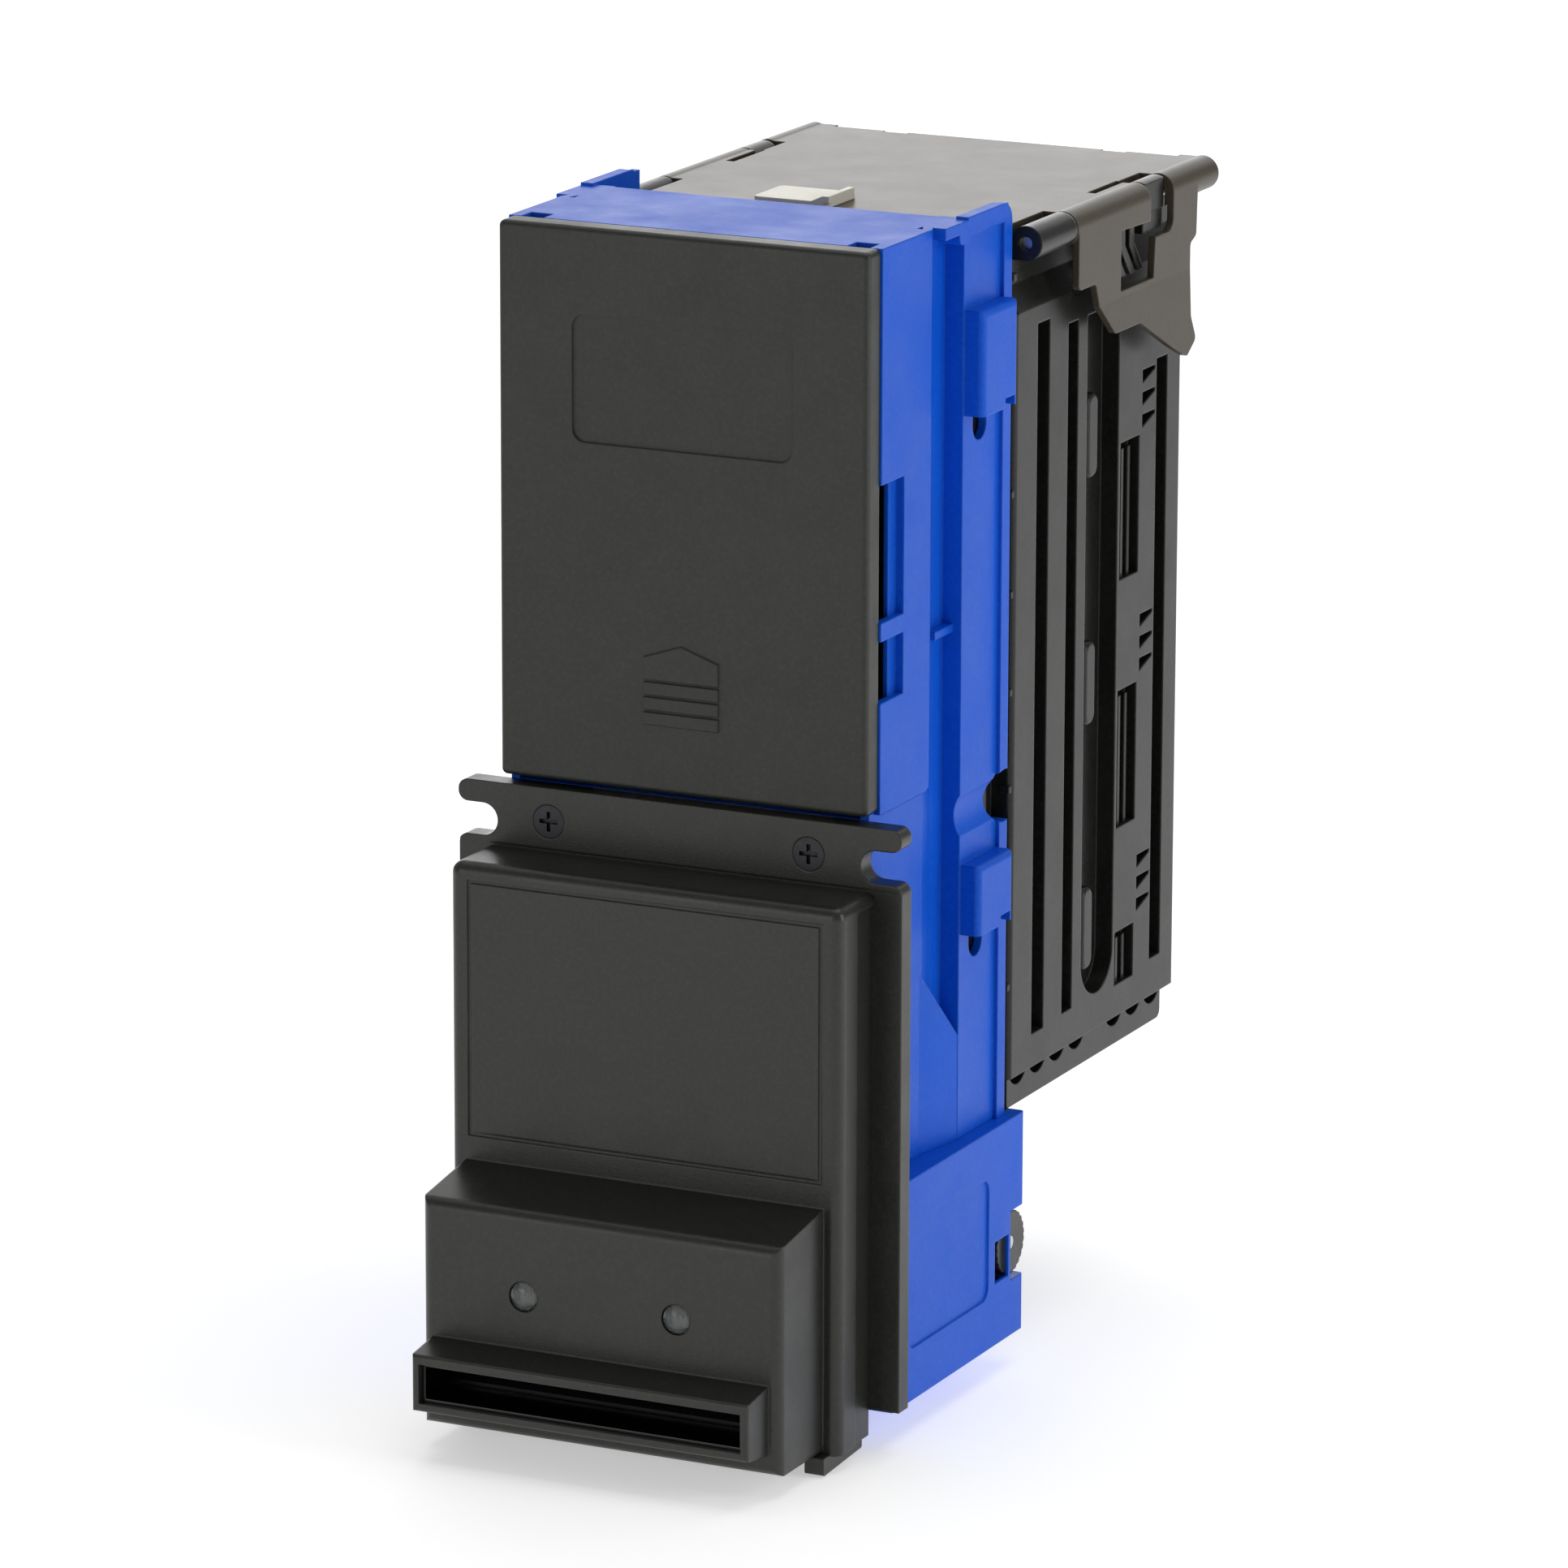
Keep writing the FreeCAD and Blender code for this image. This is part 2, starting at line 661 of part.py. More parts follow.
def shaft_places():
    """(y, z, radius) of each transport shaft."""
    return ((feed_shaft_y, feed_shaft_z, feed_shaft_radius),
            (feed_shaft_y, pinch_shaft_z, pinch_shaft_radius),
            (drum_y, drum_z, drum_shaft_radius),
            (thumbwheel_y, thumbwheel_z, thumb_shaft_radius))


def make_frame_screws():
    x1 = side_frame_inner_x
    screws = [join([cyl_x(x1 - frame_screw_head, x1, y, z, frame_screw_head_radius),
                    cyl_x(x1 - 0.1, x1 + frame_screw_length, y, z, frame_screw_radius)])
              for y, z in frame_screw_places]
    return both_sides(screws)


# ---- Gears, drums and belts -----------------------------------------------------------------
def gear_x(teeth, x0, x1, y, z, bore, phase=0.0):
    """Spur gear about X with straight-flanked teeth cut short of the pitch circle's partner."""
    pitch = gear_module * teeth / 2
    root = pitch - gear_module
    tip = pitch + gear_module - tooth_clearance
    step = 2 * math.pi / teeth
    points = []
    for number in range(teeth):
        middle = phase + number * step
        for radius, offset in ((root, -0.31), (tip, -0.12), (tip, 0.12), (root, 0.31)):
            angle = middle + offset * step
            points.append((y + radius * math.cos(angle), z + radius * math.sin(angle)))
    wheel = prism_x(points, x0, x1)
    return wheel.cut(cyl_x(x0 - 1, x1 + 1, y, z, bore)) if bore else wheel


def centre_between(y0, z0, y1, z1, distance):
    length = math.hypot(y1 - y0, z1 - z0)
    return y0 + (y1 - y0) * distance / length, z0 + (z1 - z0) * distance / length


def pitch_radius(teeth):
    return gear_module * teeth / 2


def idler_place():
    return centre_between(drum_y, drum_z, thumbwheel_y, thumbwheel_z,
                          pitch_radius(drum_teeth) + pitch_radius(idler_teeth))


def motor_place():
    y, z = idler_place()
    reach = pitch_radius(idler_teeth) + pitch_radius(motor_teeth)
    angle = math.radians(motor_angle)
    return y + reach * math.cos(angle), z + reach * math.sin(angle)


def mesh_phase(teeth, y0, z0, y1, z1, partner_teeth, partner_phase):
    """Phase that puts a tooth gap of this gear opposite a tooth of its partner.

    The partner stands at (y0, z0) and this gear at (y1, z1).
    """
    towards = math.atan2(z1 - z0, y1 - y0)
    partner_step = 2 * math.pi / partner_teeth
    past_tooth = ((towards - partner_phase) / partner_step) % 1.0
    step = 2 * math.pi / teeth
    return towards + math.pi + (past_tooth + 0.5) * step


def gear_train():
    """Places and phases of the transport gears, from the drum shaft outwards."""
    idler_y, idler_z = idler_place()
    motor_y, motor_z = motor_place()
    idler = mesh_phase(idler_teeth, drum_y, drum_z, idler_y, idler_z, drum_teeth, 0.0)
    thumb = mesh_phase(thumb_teeth, idler_y, idler_z, thumbwheel_y, thumbwheel_z, idler_teeth, idler)
    motor = mesh_phase(motor_teeth, idler_y, idler_z, motor_y, motor_z, idler_teeth, idler)
    return {"drum": (drum_teeth, drum_y, drum_z, 0.0),
            "idler": (idler_teeth, idler_y, idler_z, idler),
            "thumb": (thumb_teeth, thumbwheel_y, thumbwheel_z, thumb),
            "motor": (motor_teeth, motor_y, motor_z, motor)}


def make_train_gear(name, bore):
    """The train runs between the left side frame and the lower housing's wall."""
    teeth, y, z, phase = gear_train()[name]
    x1 = -frame_outer_x() - seat_gap
    return gear_x(teeth, x1 - train_gear_width, x1, y, z, bore, phase)


def train_end_x():
    """Outer face of the gear train, seen as a distance from the middle plane."""
    return frame_outer_x() + seat_gap + train_gear_width


def make_motor_pinion():
    y, z = motor_place()
    shaft = cyl_x(-frame_outer_x() - 1, -side_frame_inner_x - 0.1, y, z, motor_shaft_radius)
    return join([make_train_gear("motor", 0), shaft])


def shaft_x(half_length, y, z, radius):
    return cyl_x(-half_length, half_length, y, z, radius)


def frame_outer_x():
    return side_frame_inner_x + side_frame_thickness


def make_wheels(inner_x, width, y, z, outer, bore):
    return both_sides([ring_x(inner_x, inner_x + width, y, z, outer, bore)])


def loop_face(x, first, second, radii):
    """Outline of a belt round two circles, as a face normal to X."""
    (y0, z0), (y1, z1) = first, second
    r0, r1 = radii
    distance = math.hypot(y1 - y0, z1 - z0)
    heading = math.atan2(z1 - z0, y1 - y0)
    lean = math.acos((r0 - r1) / distance)

    def at(centre, radius, angle):
        return V(x, centre[0] + radius * math.cos(angle), centre[1] + radius * math.sin(angle))

    a0 = at(first, r0, heading + lean)
    a1 = at(second, r1, heading + lean)
    b0 = at(first, r0, heading - lean)
    b1 = at(second, r1, heading - lean)
    edges = [Part.makeLine(a0, a1),
             Part.Arc(a1, at(second, r1, heading), b1).toShape(),
             Part.makeLine(b1, b0),
             Part.Arc(b0, at(first, r0, heading + math.pi), a0).toShape()]
    return Part.Face(Part.Wire(edges))


def belt_x(x0, x1, first, second, radii, thickness):
    """Flat belt of the given thickness outside the two radii."""
    outer = loop_face(x0, first, second, (radii[0] + thickness, radii[1] + thickness))
    inner = loop_face(x0, first, second, radii)
    return outer.cut(inner).extrude(V(x1 - x0, 0, 0))


def head_pulley_y():
    """The rear run of the transport belts is vertical."""
    return drum_y + belt_line_radius - belt_thickness - belt_gap - head_pulley_radius


def drum_radius():
    return belt_line_radius - belt_thickness - belt_gap


def make_transport_belt():
    return belt_x(belt_inner_x, belt_inner_x + belt_width, (drum_y, drum_z),
                  (head_pulley_y(), head_pulley_z),
                  (drum_radius() + belt_gap, head_pulley_radius + belt_gap), belt_thickness)


def timing_x():
    return guide_half_width - timing_inset


def drum_pulley_radius():
    """Sized so that the feed rollers and the belts move a note at the same speed."""
    return feed_pulley_radius * belt_line_radius / feed_roller_radius


def make_timing_belt():
    """Links the feed shaft to the drum shaft inside the right side frame."""
    return belt_x(timing_x(), timing_x() + timing_belt_width, (drum_y, drum_z), (feed_shaft_y, feed_shaft_z),
                  (drum_pulley_radius() + belt_gap, feed_pulley_radius + belt_gap), belt_thickness)


def make_timing_pulley(y, z, radius, bore):
    return ring_x(timing_x(), timing_x() + timing_belt_width, y, z, radius, bore)


def make_thumbwheel():
    """Knurled wheel at the rear of the lower housing."""
    wheel = cyl_x(thumbwheel_inner_x, thumbwheel_inner_x + thumbwheel_width,
                  thumbwheel_y, thumbwheel_z, thumbwheel_radius)
    flutes = []
    reach = thumbwheel_radius + flute_radius / 2
    for number in range(thumbwheel_flutes):
        angle = 2 * math.pi * number / thumbwheel_flutes
        flutes.append(cyl_x(thumbwheel_inner_x - past, thumbwheel_inner_x + thumbwheel_width + past,
                            thumbwheel_y + reach * math.cos(angle),
                            thumbwheel_z + reach * math.sin(angle), flute_radius))
    bore = cyl_x(thumbwheel_inner_x - past, thumbwheel_inner_x + thumbwheel_width + past,
                 thumbwheel_y, thumbwheel_z, thumb_shaft_radius)
    return remove(wheel, flutes + [bore])


def make_transport_motor():
    y, z = motor_place()
    end = motor_length - side_frame_inner_x
    can = cyl_x(-side_frame_inner_x, end, y, z, motor_radius)
    return join([can, cyl_x(end, end + 2, y, z, motor_shaft_radius * 2)])


# ---- Service cover --------------------------------------------------------------------------
def make_service_cover():
    half = housing_half_width - cover_side_reveal
    cover_top = housing_top
    hook_top = cover_top - hook_end_gap
    shell = box(-half, half, cover_front_y, cover_rear_y, cover_bottom, cover_top)
    shell = rounded(shell, cover_round, lambda axis, c: c.y < cover_front_y + 0.1 or axis == "y")
    inside = box(-half + cover_wall, half - cover_wall, cover_front_y + cover_wall,
                 cover_rear_y + 1, cover_bottom + cover_wall, cover_top - cover_wall)
    label = box(-label_width / 2, label_width / 2, cover_front_y - 1, cover_front_y + label_depth,
                label_bottom, label_top)
    label = rounded(label, label_corner, lambda axis, c: axis == "y")
    shell = remove(shell, [inside, label])
    front = cover_front_y - arrow_relief
    arrow = prism_y([(0, arrow_tip), (arrow_half_width, arrow_shoulder),
                     (arrow_half_width, arrow_base), (-arrow_half_width, arrow_base),
                     (-arrow_half_width, arrow_shoulder)], front, cover_front_y + 0.5)
    ribs = [box(-arrow_half_width, arrow_half_width, front, cover_front_y + 0.5,
                height - arrow_rib_height, height) for height in arrow_ribs]
    neck = box(hook_neck_x, hook_neck_x + hook_neck_width, cover_front_y + 1, hook_rear_y(),
               hook_bottom, hook_top)
    foot = box(hook_neck_x, hook_neck_x + hook_neck_width + hook_foot_width,
               hook_rear_y() - hook_foot_thickness, hook_rear_y(), hook_bottom, hook_top)
    return join([shell, arrow] + ribs + both_sides([neck, foot]))


def hook_rear_y():
    return housing_front_y + lip_thickness + slide_clearance + hook_foot_thickness


# ---- Upper housing --------------------------------------------------------------------------
def wall_outline(front_y, half_width):
    """Plan of the right-hand wall: side, groove and rail, as one strip of even thickness."""
    t = housing_wall
    outer = [(half_width, front_y), (half_width, groove_front_y),
             (groove_floor_x, groove_floor_y), (groove_floor_x, rail_front_y),
             (rail_outer_x, rail_front_y), (rail_outer_x, rail_rear_y)]
    inner = [(rail_outer_x - t, rail_rear_y), (rail_outer_x - t, rail_front_y + t),
             (groove_floor_x - t, rail_front_y + t), (groove_floor_x - t, groove_floor_y - 0.6),
             (half_width - t, groove_front_y - 0.6), (half_width - t, front_y)]
    return outer + inner


def make_rail_details():
    """Raised border, retaining lip, roof bridge and the lower end of the groove."""
    t = housing_wall
    rim = [box(rail_outer_x - t, rail_outer_x + rim_height, rail_rear_y - rim_width, rail_rear_y,
               head_top, rail_top - 6),
           box(rail_outer_x - t, rail_outer_x + rim_height, rail_front_y, rail_rear_y,
               rail_top - rim_width, rail_top)]
    corner = box(rail_outer_x - t, rail_outer_x + rim_height, rail_rear_y - 8, rail_rear_y,
                 rail_top - 8, rail_top)
    corner = corner.cut(box(rail_outer_x, rail_outer_x + 3, rail_rear_y - 9, rail_rear_y - rim_width,
                            rail_top - 9, rail_top - rim_width))
    rail = box(rail_outer_x - t, rail_outer_x, rail_front_y, rail_rear_y, head_top, rail_top)
    border = join([rail, corner] + rim)
    border = rounded(border, 4.5, lambda axis, c: axis == "x" and c.y > rail_rear_y - 0.1
                     and c.z > rail_top - 0.1)
    lip = box(rail_outer_x - t - rail_lip_depth, rail_outer_x - t + 0.1,
              rail_rear_y - rail_lip_length, rail_rear_y, head_top, throat_top - 2)
    bridge = box(groove_floor_x - t, rail_outer_x + rim_height, groove_front_y + 2, rail_front_y + t,
                 housing_top - 2.6, housing_top)
    cap = box(groove_floor_x - 1, rail_outer_x + rim_height, rail_front_y - 4.5, rail_front_y + t,
              rail_top - 5.6, rail_top - 0.8)
    cap = rounded(cap, 1.6, lambda axis, c: axis == "x")
    y0 = groove_front_y - 1
    y1 = rail_front_y + weld
    fill = prism_x([(y0, head_top), (y1, head_top), (y1, groove_end), (y0, groove_taper_top)],
                   groove_floor_x - 1, rail_outer_x)
    fill = fill.common(prism_z([(groove_floor_x - 1, y0), (lower_half_width, y0),
                                (rail_outer_x, y1), (groove_floor_x - 1, y1)],
                               head_top, groove_taper_top))
    web = box(groove_floor_x - 0.5, groove_floor_x + 2.6, groove_floor_y - 3.5, rail_front_y + 0.5,
              groove_web_z, groove_web_z + 1.8)
    return [border, lip, bridge, cap, fill, web]


def make_clip(bottom, top):
    """Hollow block on the rail, open underneath."""
    block = box(rail_outer_x - 0.5, clip_outer_x, clip_front_y, clip_rear_y, bottom, top)
    block = rounded(block, 1.5, lambda axis, c: c.x > clip_outer_x - 0.1 and c.z > bottom + 1)
    pocket = box(rail_outer_x, clip_outer_x - clip_shell, clip_front_y + clip_shell,
                 clip_rear_y - clip_shell, bottom - past, top - clip_roof)
    notch = box(clip_outer_x - clip_shell - past, clip_outer_x + past, clip_front_y + clip_notch[0],
                clip_front_y + clip_notch[1], bottom - past, bottom + clip_notch_height)
    return remove(block, [pocket, notch])


def make_clip_hole(bottom):
    """U-shaped core hole through the rail under each clip."""
    middle_y = clip_front_y + 8.4
    x0 = rail_outer_x - housing_wall - past
    x1 = rail_outer_x + past
    radius = clip_hole_radius
    return join([box(x0, x1, middle_y - radius, middle_y + radius, bottom - 3.2, bottom + 3),
                 cyl_x(x0, x1, middle_y, bottom - 3.2, radius)])


def board_posts():
    """(z) of the brackets that hold the main board, near its lower and upper corners."""
    return (board_bottom + board_screw_inset, board_top - board_screw_inset)


def make_upper_housing():
    t = housing_wall
    upper = prism_z(wall_outline(housing_front_y, housing_half_width), waist, housing_top)
    lower = prism_z(wall_outline(head_front_y, lower_half_width), head_top, waist)
    ledge = box(lower_half_width - t, housing_half_width, housing_front_y, groove_front_y - 1,
                waist - 0.5, waist + t)
    skirt = prism_y([(lower_half_width - 0.5, waist - 1.6), (lower_half_width, waist - 1.6),
                     (housing_half_width, waist), (housing_half_width, waist + 0.5),
                     (lower_half_width - 0.5, waist + 0.5)], housing_front_y + 4, groove_front_y - 1)
    lip = box(lip_inner_x, housing_half_width - 1, housing_front_y, housing_front_y + lip_thickness,
              waist, housing_top)
    rib = box(lower_half_width - weld, lower_half_width + 1.0, side_rib[0], side_rib[1],
              head_top + 1, side_rib[2])
    brackets = [box(board_half_width - 5, housing_half_width - 1, board_front_y + board_thickness,
                    board_front_y + board_thickness + 4, z - 3, z + 3) for z in board_posts()]
    floor = box(housing_half_width - t - side_window_floor, housing_half_width - t + 0.1,
                side_window_floor_y, side_window_rear_y + side_window_floor,
                side_window_bottom - 1, side_window_top + 1)
    side = [upper, lower, ledge, skirt, lip, rib, floor] + brackets + make_rail_details()
    side += [make_clip(bottom, top) for bottom, top in clip_spans]
    roof = box(-groove_floor_x, groove_floor_x, housing_front_y, roof_rear_y,
               housing_top - t, housing_top)
    roof_front = box(-housing_half_width + 0.5, housing_half_width - 0.5, housing_front_y,
                     groove_front_y - 0.5, housing_top - t, housing_top)
    cross = box(-lower_half_width + 0.5, lower_half_width - 0.5, head_front_y, head_front_y + 4,
                strip_bottom - 3, flange_top)
    beam = box(-groove_floor_x + 0.5, groove_floor_x - 0.5, path_plate_front_y - 3,
               path_plate_front_y, head_pulley_z + 6, housing_top)
    sill = box(-groove_floor_x + 0.5, groove_floor_x - 0.5, path_plate_front_y - 3,
               path_plate_front_y, head_top + 8, head_top + 14)
    body = join(both_sides(side) + [roof, roof_front, cross, beam, sill])

    cuts = [make_clip_hole(bottom) for bottom, top in clip_spans]
    cuts.append(cyl_x(rail_outer_x - t - 5, rail_outer_x + 3, rail_rear_y - 1.6, finger_notch_z,
                      finger_notch_radius))
    cuts.append(cyl_y(rail_outer_x + finger_scoop_radius - finger_scoop_depth, rail_front_y - 1,
                      rail_rear_y + 1, finger_notch_z, finger_scoop_radius))
    window = join([box(lip_inner_x - 1, housing_half_width + 1, housing_front_y - 1,
                       side_window_floor_y, side_window_bottom, side_window_top),
                   box(housing_half_width - t, housing_half_width + 1, housing_front_y - 1,
                       side_window_rear_y, side_window_bottom, side_window_top)])
    bar = box(housing_half_width - t, housing_half_width + 2, housing_front_y, side_window_rear_y + 1,
              side_window_bar[0], side_window_bar[1])
    cuts.append(window.cut(bar))
    cuts.append(box(hook_neck_x - slide_clearance, hook_slot_outer_x(), housing_front_y - 1,
                    hook_rear_y() + slide_clearance, housing_top - t - 1, housing_top + 1))
    cuts.append(cyl_y(bezel_screw_x, head_front_y - 1, head_front_y + 5, bezel_screw_z,
                      bezel_screw_radius))
    cuts += [cyl_y(board_screw_x, board_front_y, board_front_y + 6, z, board_screw_radius)
             for z in board_posts()]
    cuts.append(cyl_x(groove_floor_x - t - 1, groove_floor_x - 0.6, head_pulley_y(), head_pulley_z,
                      head_shaft_radius + shaft_clearance))
    belt_x0 = belt_inner_x - 0.5
    belt_x1 = belt_inner_x + belt_width + 0.5
    cuts.append(box(belt_x0, belt_x1, path_plate_front_y - 6, path_plate_front_y + 1,
                    head_top, head_pulley_z + 8))
    return remove(body, both_sides(cuts))


def hook_slot_outer_x():
    return hook_neck_x + hook_neck_width + hook_foot_width + slide_clearance


def make_path_plate():
    """Front guide of the vertical note path, with the push plate's window."""
    half = groove_floor_x - housing_wall - 0.2
    y0 = path_plate_front_y
    y1 = y0 + path_plate_thickness
    plate = box(-half, half, y0, y1, head_top + 1, housing_top - 3)
    window = box(-push_plate_half_width - 0.7, push_plate_half_width + 0.7, y0 - 1, y1 + 1,
                 push_plate_bottom - 1.5, push_plate_top + 1.5)
    belt_slots = both_sides([box(belt_inner_x - 0.8, belt_inner_x + belt_width + 0.8, y0 - 1,
                                 y1 + 1, head_top, head_pulley_z + 7)])
    return remove(plate, [window] + belt_slots)


# ---- Lower housing --------------------------------------------------------------------------
def make_lower_housing():
    half = head_half_width
    wall = head_wall
    shell = box(-half, half, head_front_y, head_rear_y, head_bottom, head_top)
    shell = rounded(shell, 1.0, lambda axis, c: axis == "z" and c.y > head_rear_y - 0.1)
    inside = box(-half + wall, half - wall, head_front_y - 1, head_rear_y - wall,
                 head_bottom + wall, head_top - wall)
    top_opening = box(-side_frame_inner_x + 0.9, side_frame_inner_x - 0.9, head_front_y + 4,
                      drum_y + belt_line_radius + 3.6, head_top - wall - 1, head_top + 1)
    recess = box(half - 0.5, half + past, *side_recess)
    recess = rounded(recess, 3.0, lambda axis, c: axis == "x")
    small_window = box(half - wall - past, half + past, *side_hole)
    reach = thumbwheel_radius + 0.8
    notch = box(frame_outer_x() - 0.2, half + 1, thumbwheel_y - reach, head_rear_y + 1,
                thumbwheel_z - reach, thumbwheel_z + reach)
    wall_kept = box(half - thin_skin, half + 2, 0, thin_skin_end_y, 0, head_top)
    shell = remove(shell, [inside, top_opening, notch.cut(wall_kept)]
                   + both_sides([recess, small_window]))
    gear_slot = box(-half + wall, -frame_outer_x() + 0.2, head_rear_y - wall - 1, head_rear_y + 1,
                    thumbwheel_z - reach, thumbwheel_z + reach)
    shell = remove(shell, [gear_slot])
    bosses = [cyl_x(frame_outer_x(), half - wall + 0.2, y, z, frame_boss_radius)
              for y, z in frame_screw_places]
    holes = [cyl_x(frame_outer_x() - past, half - wall - 0.3, y, z, frame_screw_radius)
             for y, z in frame_screw_places]
    return remove(join([shell] + both_sides(bosses)), both_sides(holes))


# ---- Stacker --------------------------------------------------------------------------------
def stacker_motor_z():
    reach = pitch_radius(stacker_gear_teeth) + pitch_radius(stacker_motor_teeth)
    return pinion_z + math.sqrt(reach ** 2 - (pinion_y - stacker_motor_y) ** 2)


def make_stacker_frame():
    """U-shaped sheet-steel bracket behind the main board."""
    x1 = stacker_side_x + stacker_sheet
    front = board_front_y + board_thickness + stacker_board_gap
    bottom = pinion_z - 20
    top = stacker_motor_z() + stacker_motor_radius + 6
    outer = box(-x1, x1, front, path_plate_front_y, bottom, top)
    inside = box(-stacker_side_x, stacker_side_x, front + stacker_sheet, path_plate_front_y + 1,
                 bottom - 1, top + 1)
    belts = both_sides([box(stacker_side_x - 1, x1 + 1, path_plate_front_y - 3, path_plate_front_y + 1,
                            bottom + 12, top - 12)])
    hole = cyl_x(-x1 - 1, x1 + 1, pinion_y, pinion_z,
                 stacker_shaft_radius + shaft_clearance)
    return remove(outer, [inside, hole] + belts)


def make_push_plate():
    rear = push_plate_rear_y
    front = rear - push_plate_thickness
    plate = box(-push_plate_half_width, push_plate_half_width, front, rear,
                push_plate_bottom, push_plate_top)
    plate = rounded(plate, 4.0, lambda axis, c: axis == "y")
    ribs = [box(x - 0.8, x + 0.8, front - 3, front + 0.5, push_plate_bottom + 6, push_plate_top - 6)
            for x in (-push_rib_x, push_rib_x)]
    relief = box(-15, 15, front - 4, front, pinion_z - 16, stacker_motor_z() + 14)
    return remove(join([plate] + ribs), [relief])


def make_push_racks():
    """Toothed bars between the push plate and the pinions."""
    front = board_front_y + board_thickness + stacker_board_gap + stacker_sheet + 0.5
    rear = push_plate_rear_y - push_plate_thickness
    pitch_z = pinion_z + pitch_radius(pinion_teeth)
    bottom = pitch_z + gear_module
    bar = box(rack_inner_x, rack_inner_x + rack_width, front, rear, bottom, bottom + rack_height)
    step = math.pi * gear_module
    teeth = []
    count = int((rear - front) / step)
    first = pinion_y + step / 2 - step * int((pinion_y + step / 2 - front - 1) / step)
    for number in range(count):
        y = first + number * step
        if y + 1 < rear:
            teeth.append(prism_x([(y - 0.3 * step, bottom + 0.2), (y - 0.12 * step, pitch_z - 0.7),
                                  (y + 0.12 * step, pitch_z - 0.7), (y + 0.3 * step, bottom + 0.2)],
                                 rack_inner_x, rack_inner_x + rack_width))
    return both_sides([join([bar] + teeth)])


def make_stacker_pinions():
    inner = rack_inner_x + 0.5
    wheel = gear_x(pinion_teeth, inner, inner + pinion_width, pinion_y, pinion_z,
                   stacker_shaft_radius, math.pi / 2)
    return both_sides([wheel])


def stacker_gear_span():
    return rack_inner_x + rack_width + 1.2, stacker_side_x - 0.4


def make_stacker_gear():
    x0, x1 = stacker_gear_span()
    return gear_x(stacker_gear_teeth, x0, x1, pinion_y, pinion_z, stacker_shaft_radius)


def make_stacker_motor_gear():
    x0, x1 = stacker_gear_span()
    phase = mesh_phase(stacker_motor_teeth, pinion_y, pinion_z, stacker_motor_y, stacker_motor_z(),
                       stacker_gear_teeth, 0.0)
    return gear_x(stacker_motor_teeth, x0 + 0.2, x1 - 0.2, stacker_motor_y, stacker_motor_z(),
                  stacker_motor_shaft_radius, phase)


def make_stacker_motor():
    half = stacker_motor_half_length
    can = cyl_x(-half, half, stacker_motor_y, stacker_motor_z(), stacker_motor_radius)
    bush = cyl_x(-half - 2, -half, stacker_motor_y, stacker_motor_z(),
                 stacker_motor_shaft_radius * 3)
    return join([can, bush])


def make_stacker_motor_shaft():
    x0, x1 = stacker_gear_span()
    return cyl_x(stacker_motor_half_length + 0.2, x1 - 0.2, stacker_motor_y, stacker_motor_z(),
                 stacker_motor_shaft_radius)


# ---- Electronics ----------------------------------------------------------------------------
def make_main_board():
    board = box(-board_half_width, board_half_width, board_front_y, board_front_y + board_thickness,
                board_bottom, board_top)
    holes = both_sides([cyl_y(board_screw_x, board_front_y - past, board_front_y + 3, z,
                              board_screw_radius + 0.1) for z in board_posts()])
    return remove(board, holes)


def make_board_screws():
    screws = [join([cyl_y(board_screw_x, board_front_y - 1.6, board_front_y, z,
                          board_screw_radius + 0.5),
                    cyl_y(board_screw_x, board_front_y - 0.1, board_front_y + 5.5, z,
                          board_screw_radius)])
              for z in board_posts()]
    return both_sides(screws)


def make_board_chips():
    return [box(x0, x1, board_front_y - height, board_front_y, z0, z1)
            for x0, x1, z0, z1, height in chip_places]


def make_board_capacitors():
    return [cyl_y(x, board_front_y - component_height, board_front_y, z, capacitor_radius)
            for x, z in capacitor_places]


def make_board_headers():
    y0 = board_front_y - component_height
    wall = header_wall
    shells = []
    for x0, x1, z0, z1 in header_places:
        shell = box(x0, x1, y0, board_front_y, z0, z1)
        shells.append(shell.cut(box(x0 + wall, x1 - wall, y0 - past, board_front_y - 1.5,
                                    z0 + wall, z1 - wall)))
    return shells


# ---- Cash box -------------------------------------------------------------------------------
def side_relief_cuts():
    """Grooves, channel, slots and louvres pressed into the right-hand wall."""
    face = box_half_width
    cuts = [box(face - relief_depth, face + past, *span) for span in relief_grooves]
    radius = (channel_rear_y - channel_front_y) / 2
    channel = join([box(face - channel_depth, face + past, channel_front_y, channel_rear_y,
                        channel_bottom, channel_top),
                    cyl_x(face - channel_depth, face + past, channel_front_y + radius,
                          channel_bottom, radius)])
    bosses = []
    for bottom in channel_boss_bottoms:
        boss = box(face - channel_depth - past, face - channel_boss_drop, channel_boss[0],
                   channel_boss[1], bottom, bottom + channel_boss_height)
        boss = rounded(boss, channel_boss_round, lambda axis, c: axis == "x")
        crown = face - channel_boss_drop
        rim = [edge for edge in boss.Edges if edge.BoundBox.XMin > crown - 0.01]
        bosses.append(boss.makeFillet(channel_boss_edge, rim))
    cuts.append(remove(channel, bosses))
    for bottom, top in wall_slot_spans:
        slot = box(face - wall_slot_depth, face + past, wall_slot_y[0], wall_slot_y[1], bottom, top)
        ribs = [box(face - wall_slot_depth - past, face - wall_slot_rib_drop, y, y + wall_slot_rib,
                    bottom - past, top - 2)
                for y in wall_slot_ribs]
        cuts.append(remove(slot, ribs))
    for bottom in louvre_bottoms:
        for step in range(3):
            z = bottom + step * louvre_pitch
            cuts.append(prism_x([(louvre_y[0], z), (louvre_y[1], z + 2.2),
                                 (louvre_y[1], z + louvre_height), (louvre_y[0], z + louvre_height)],
                                face - louvre_depth, face + past))
    return cuts


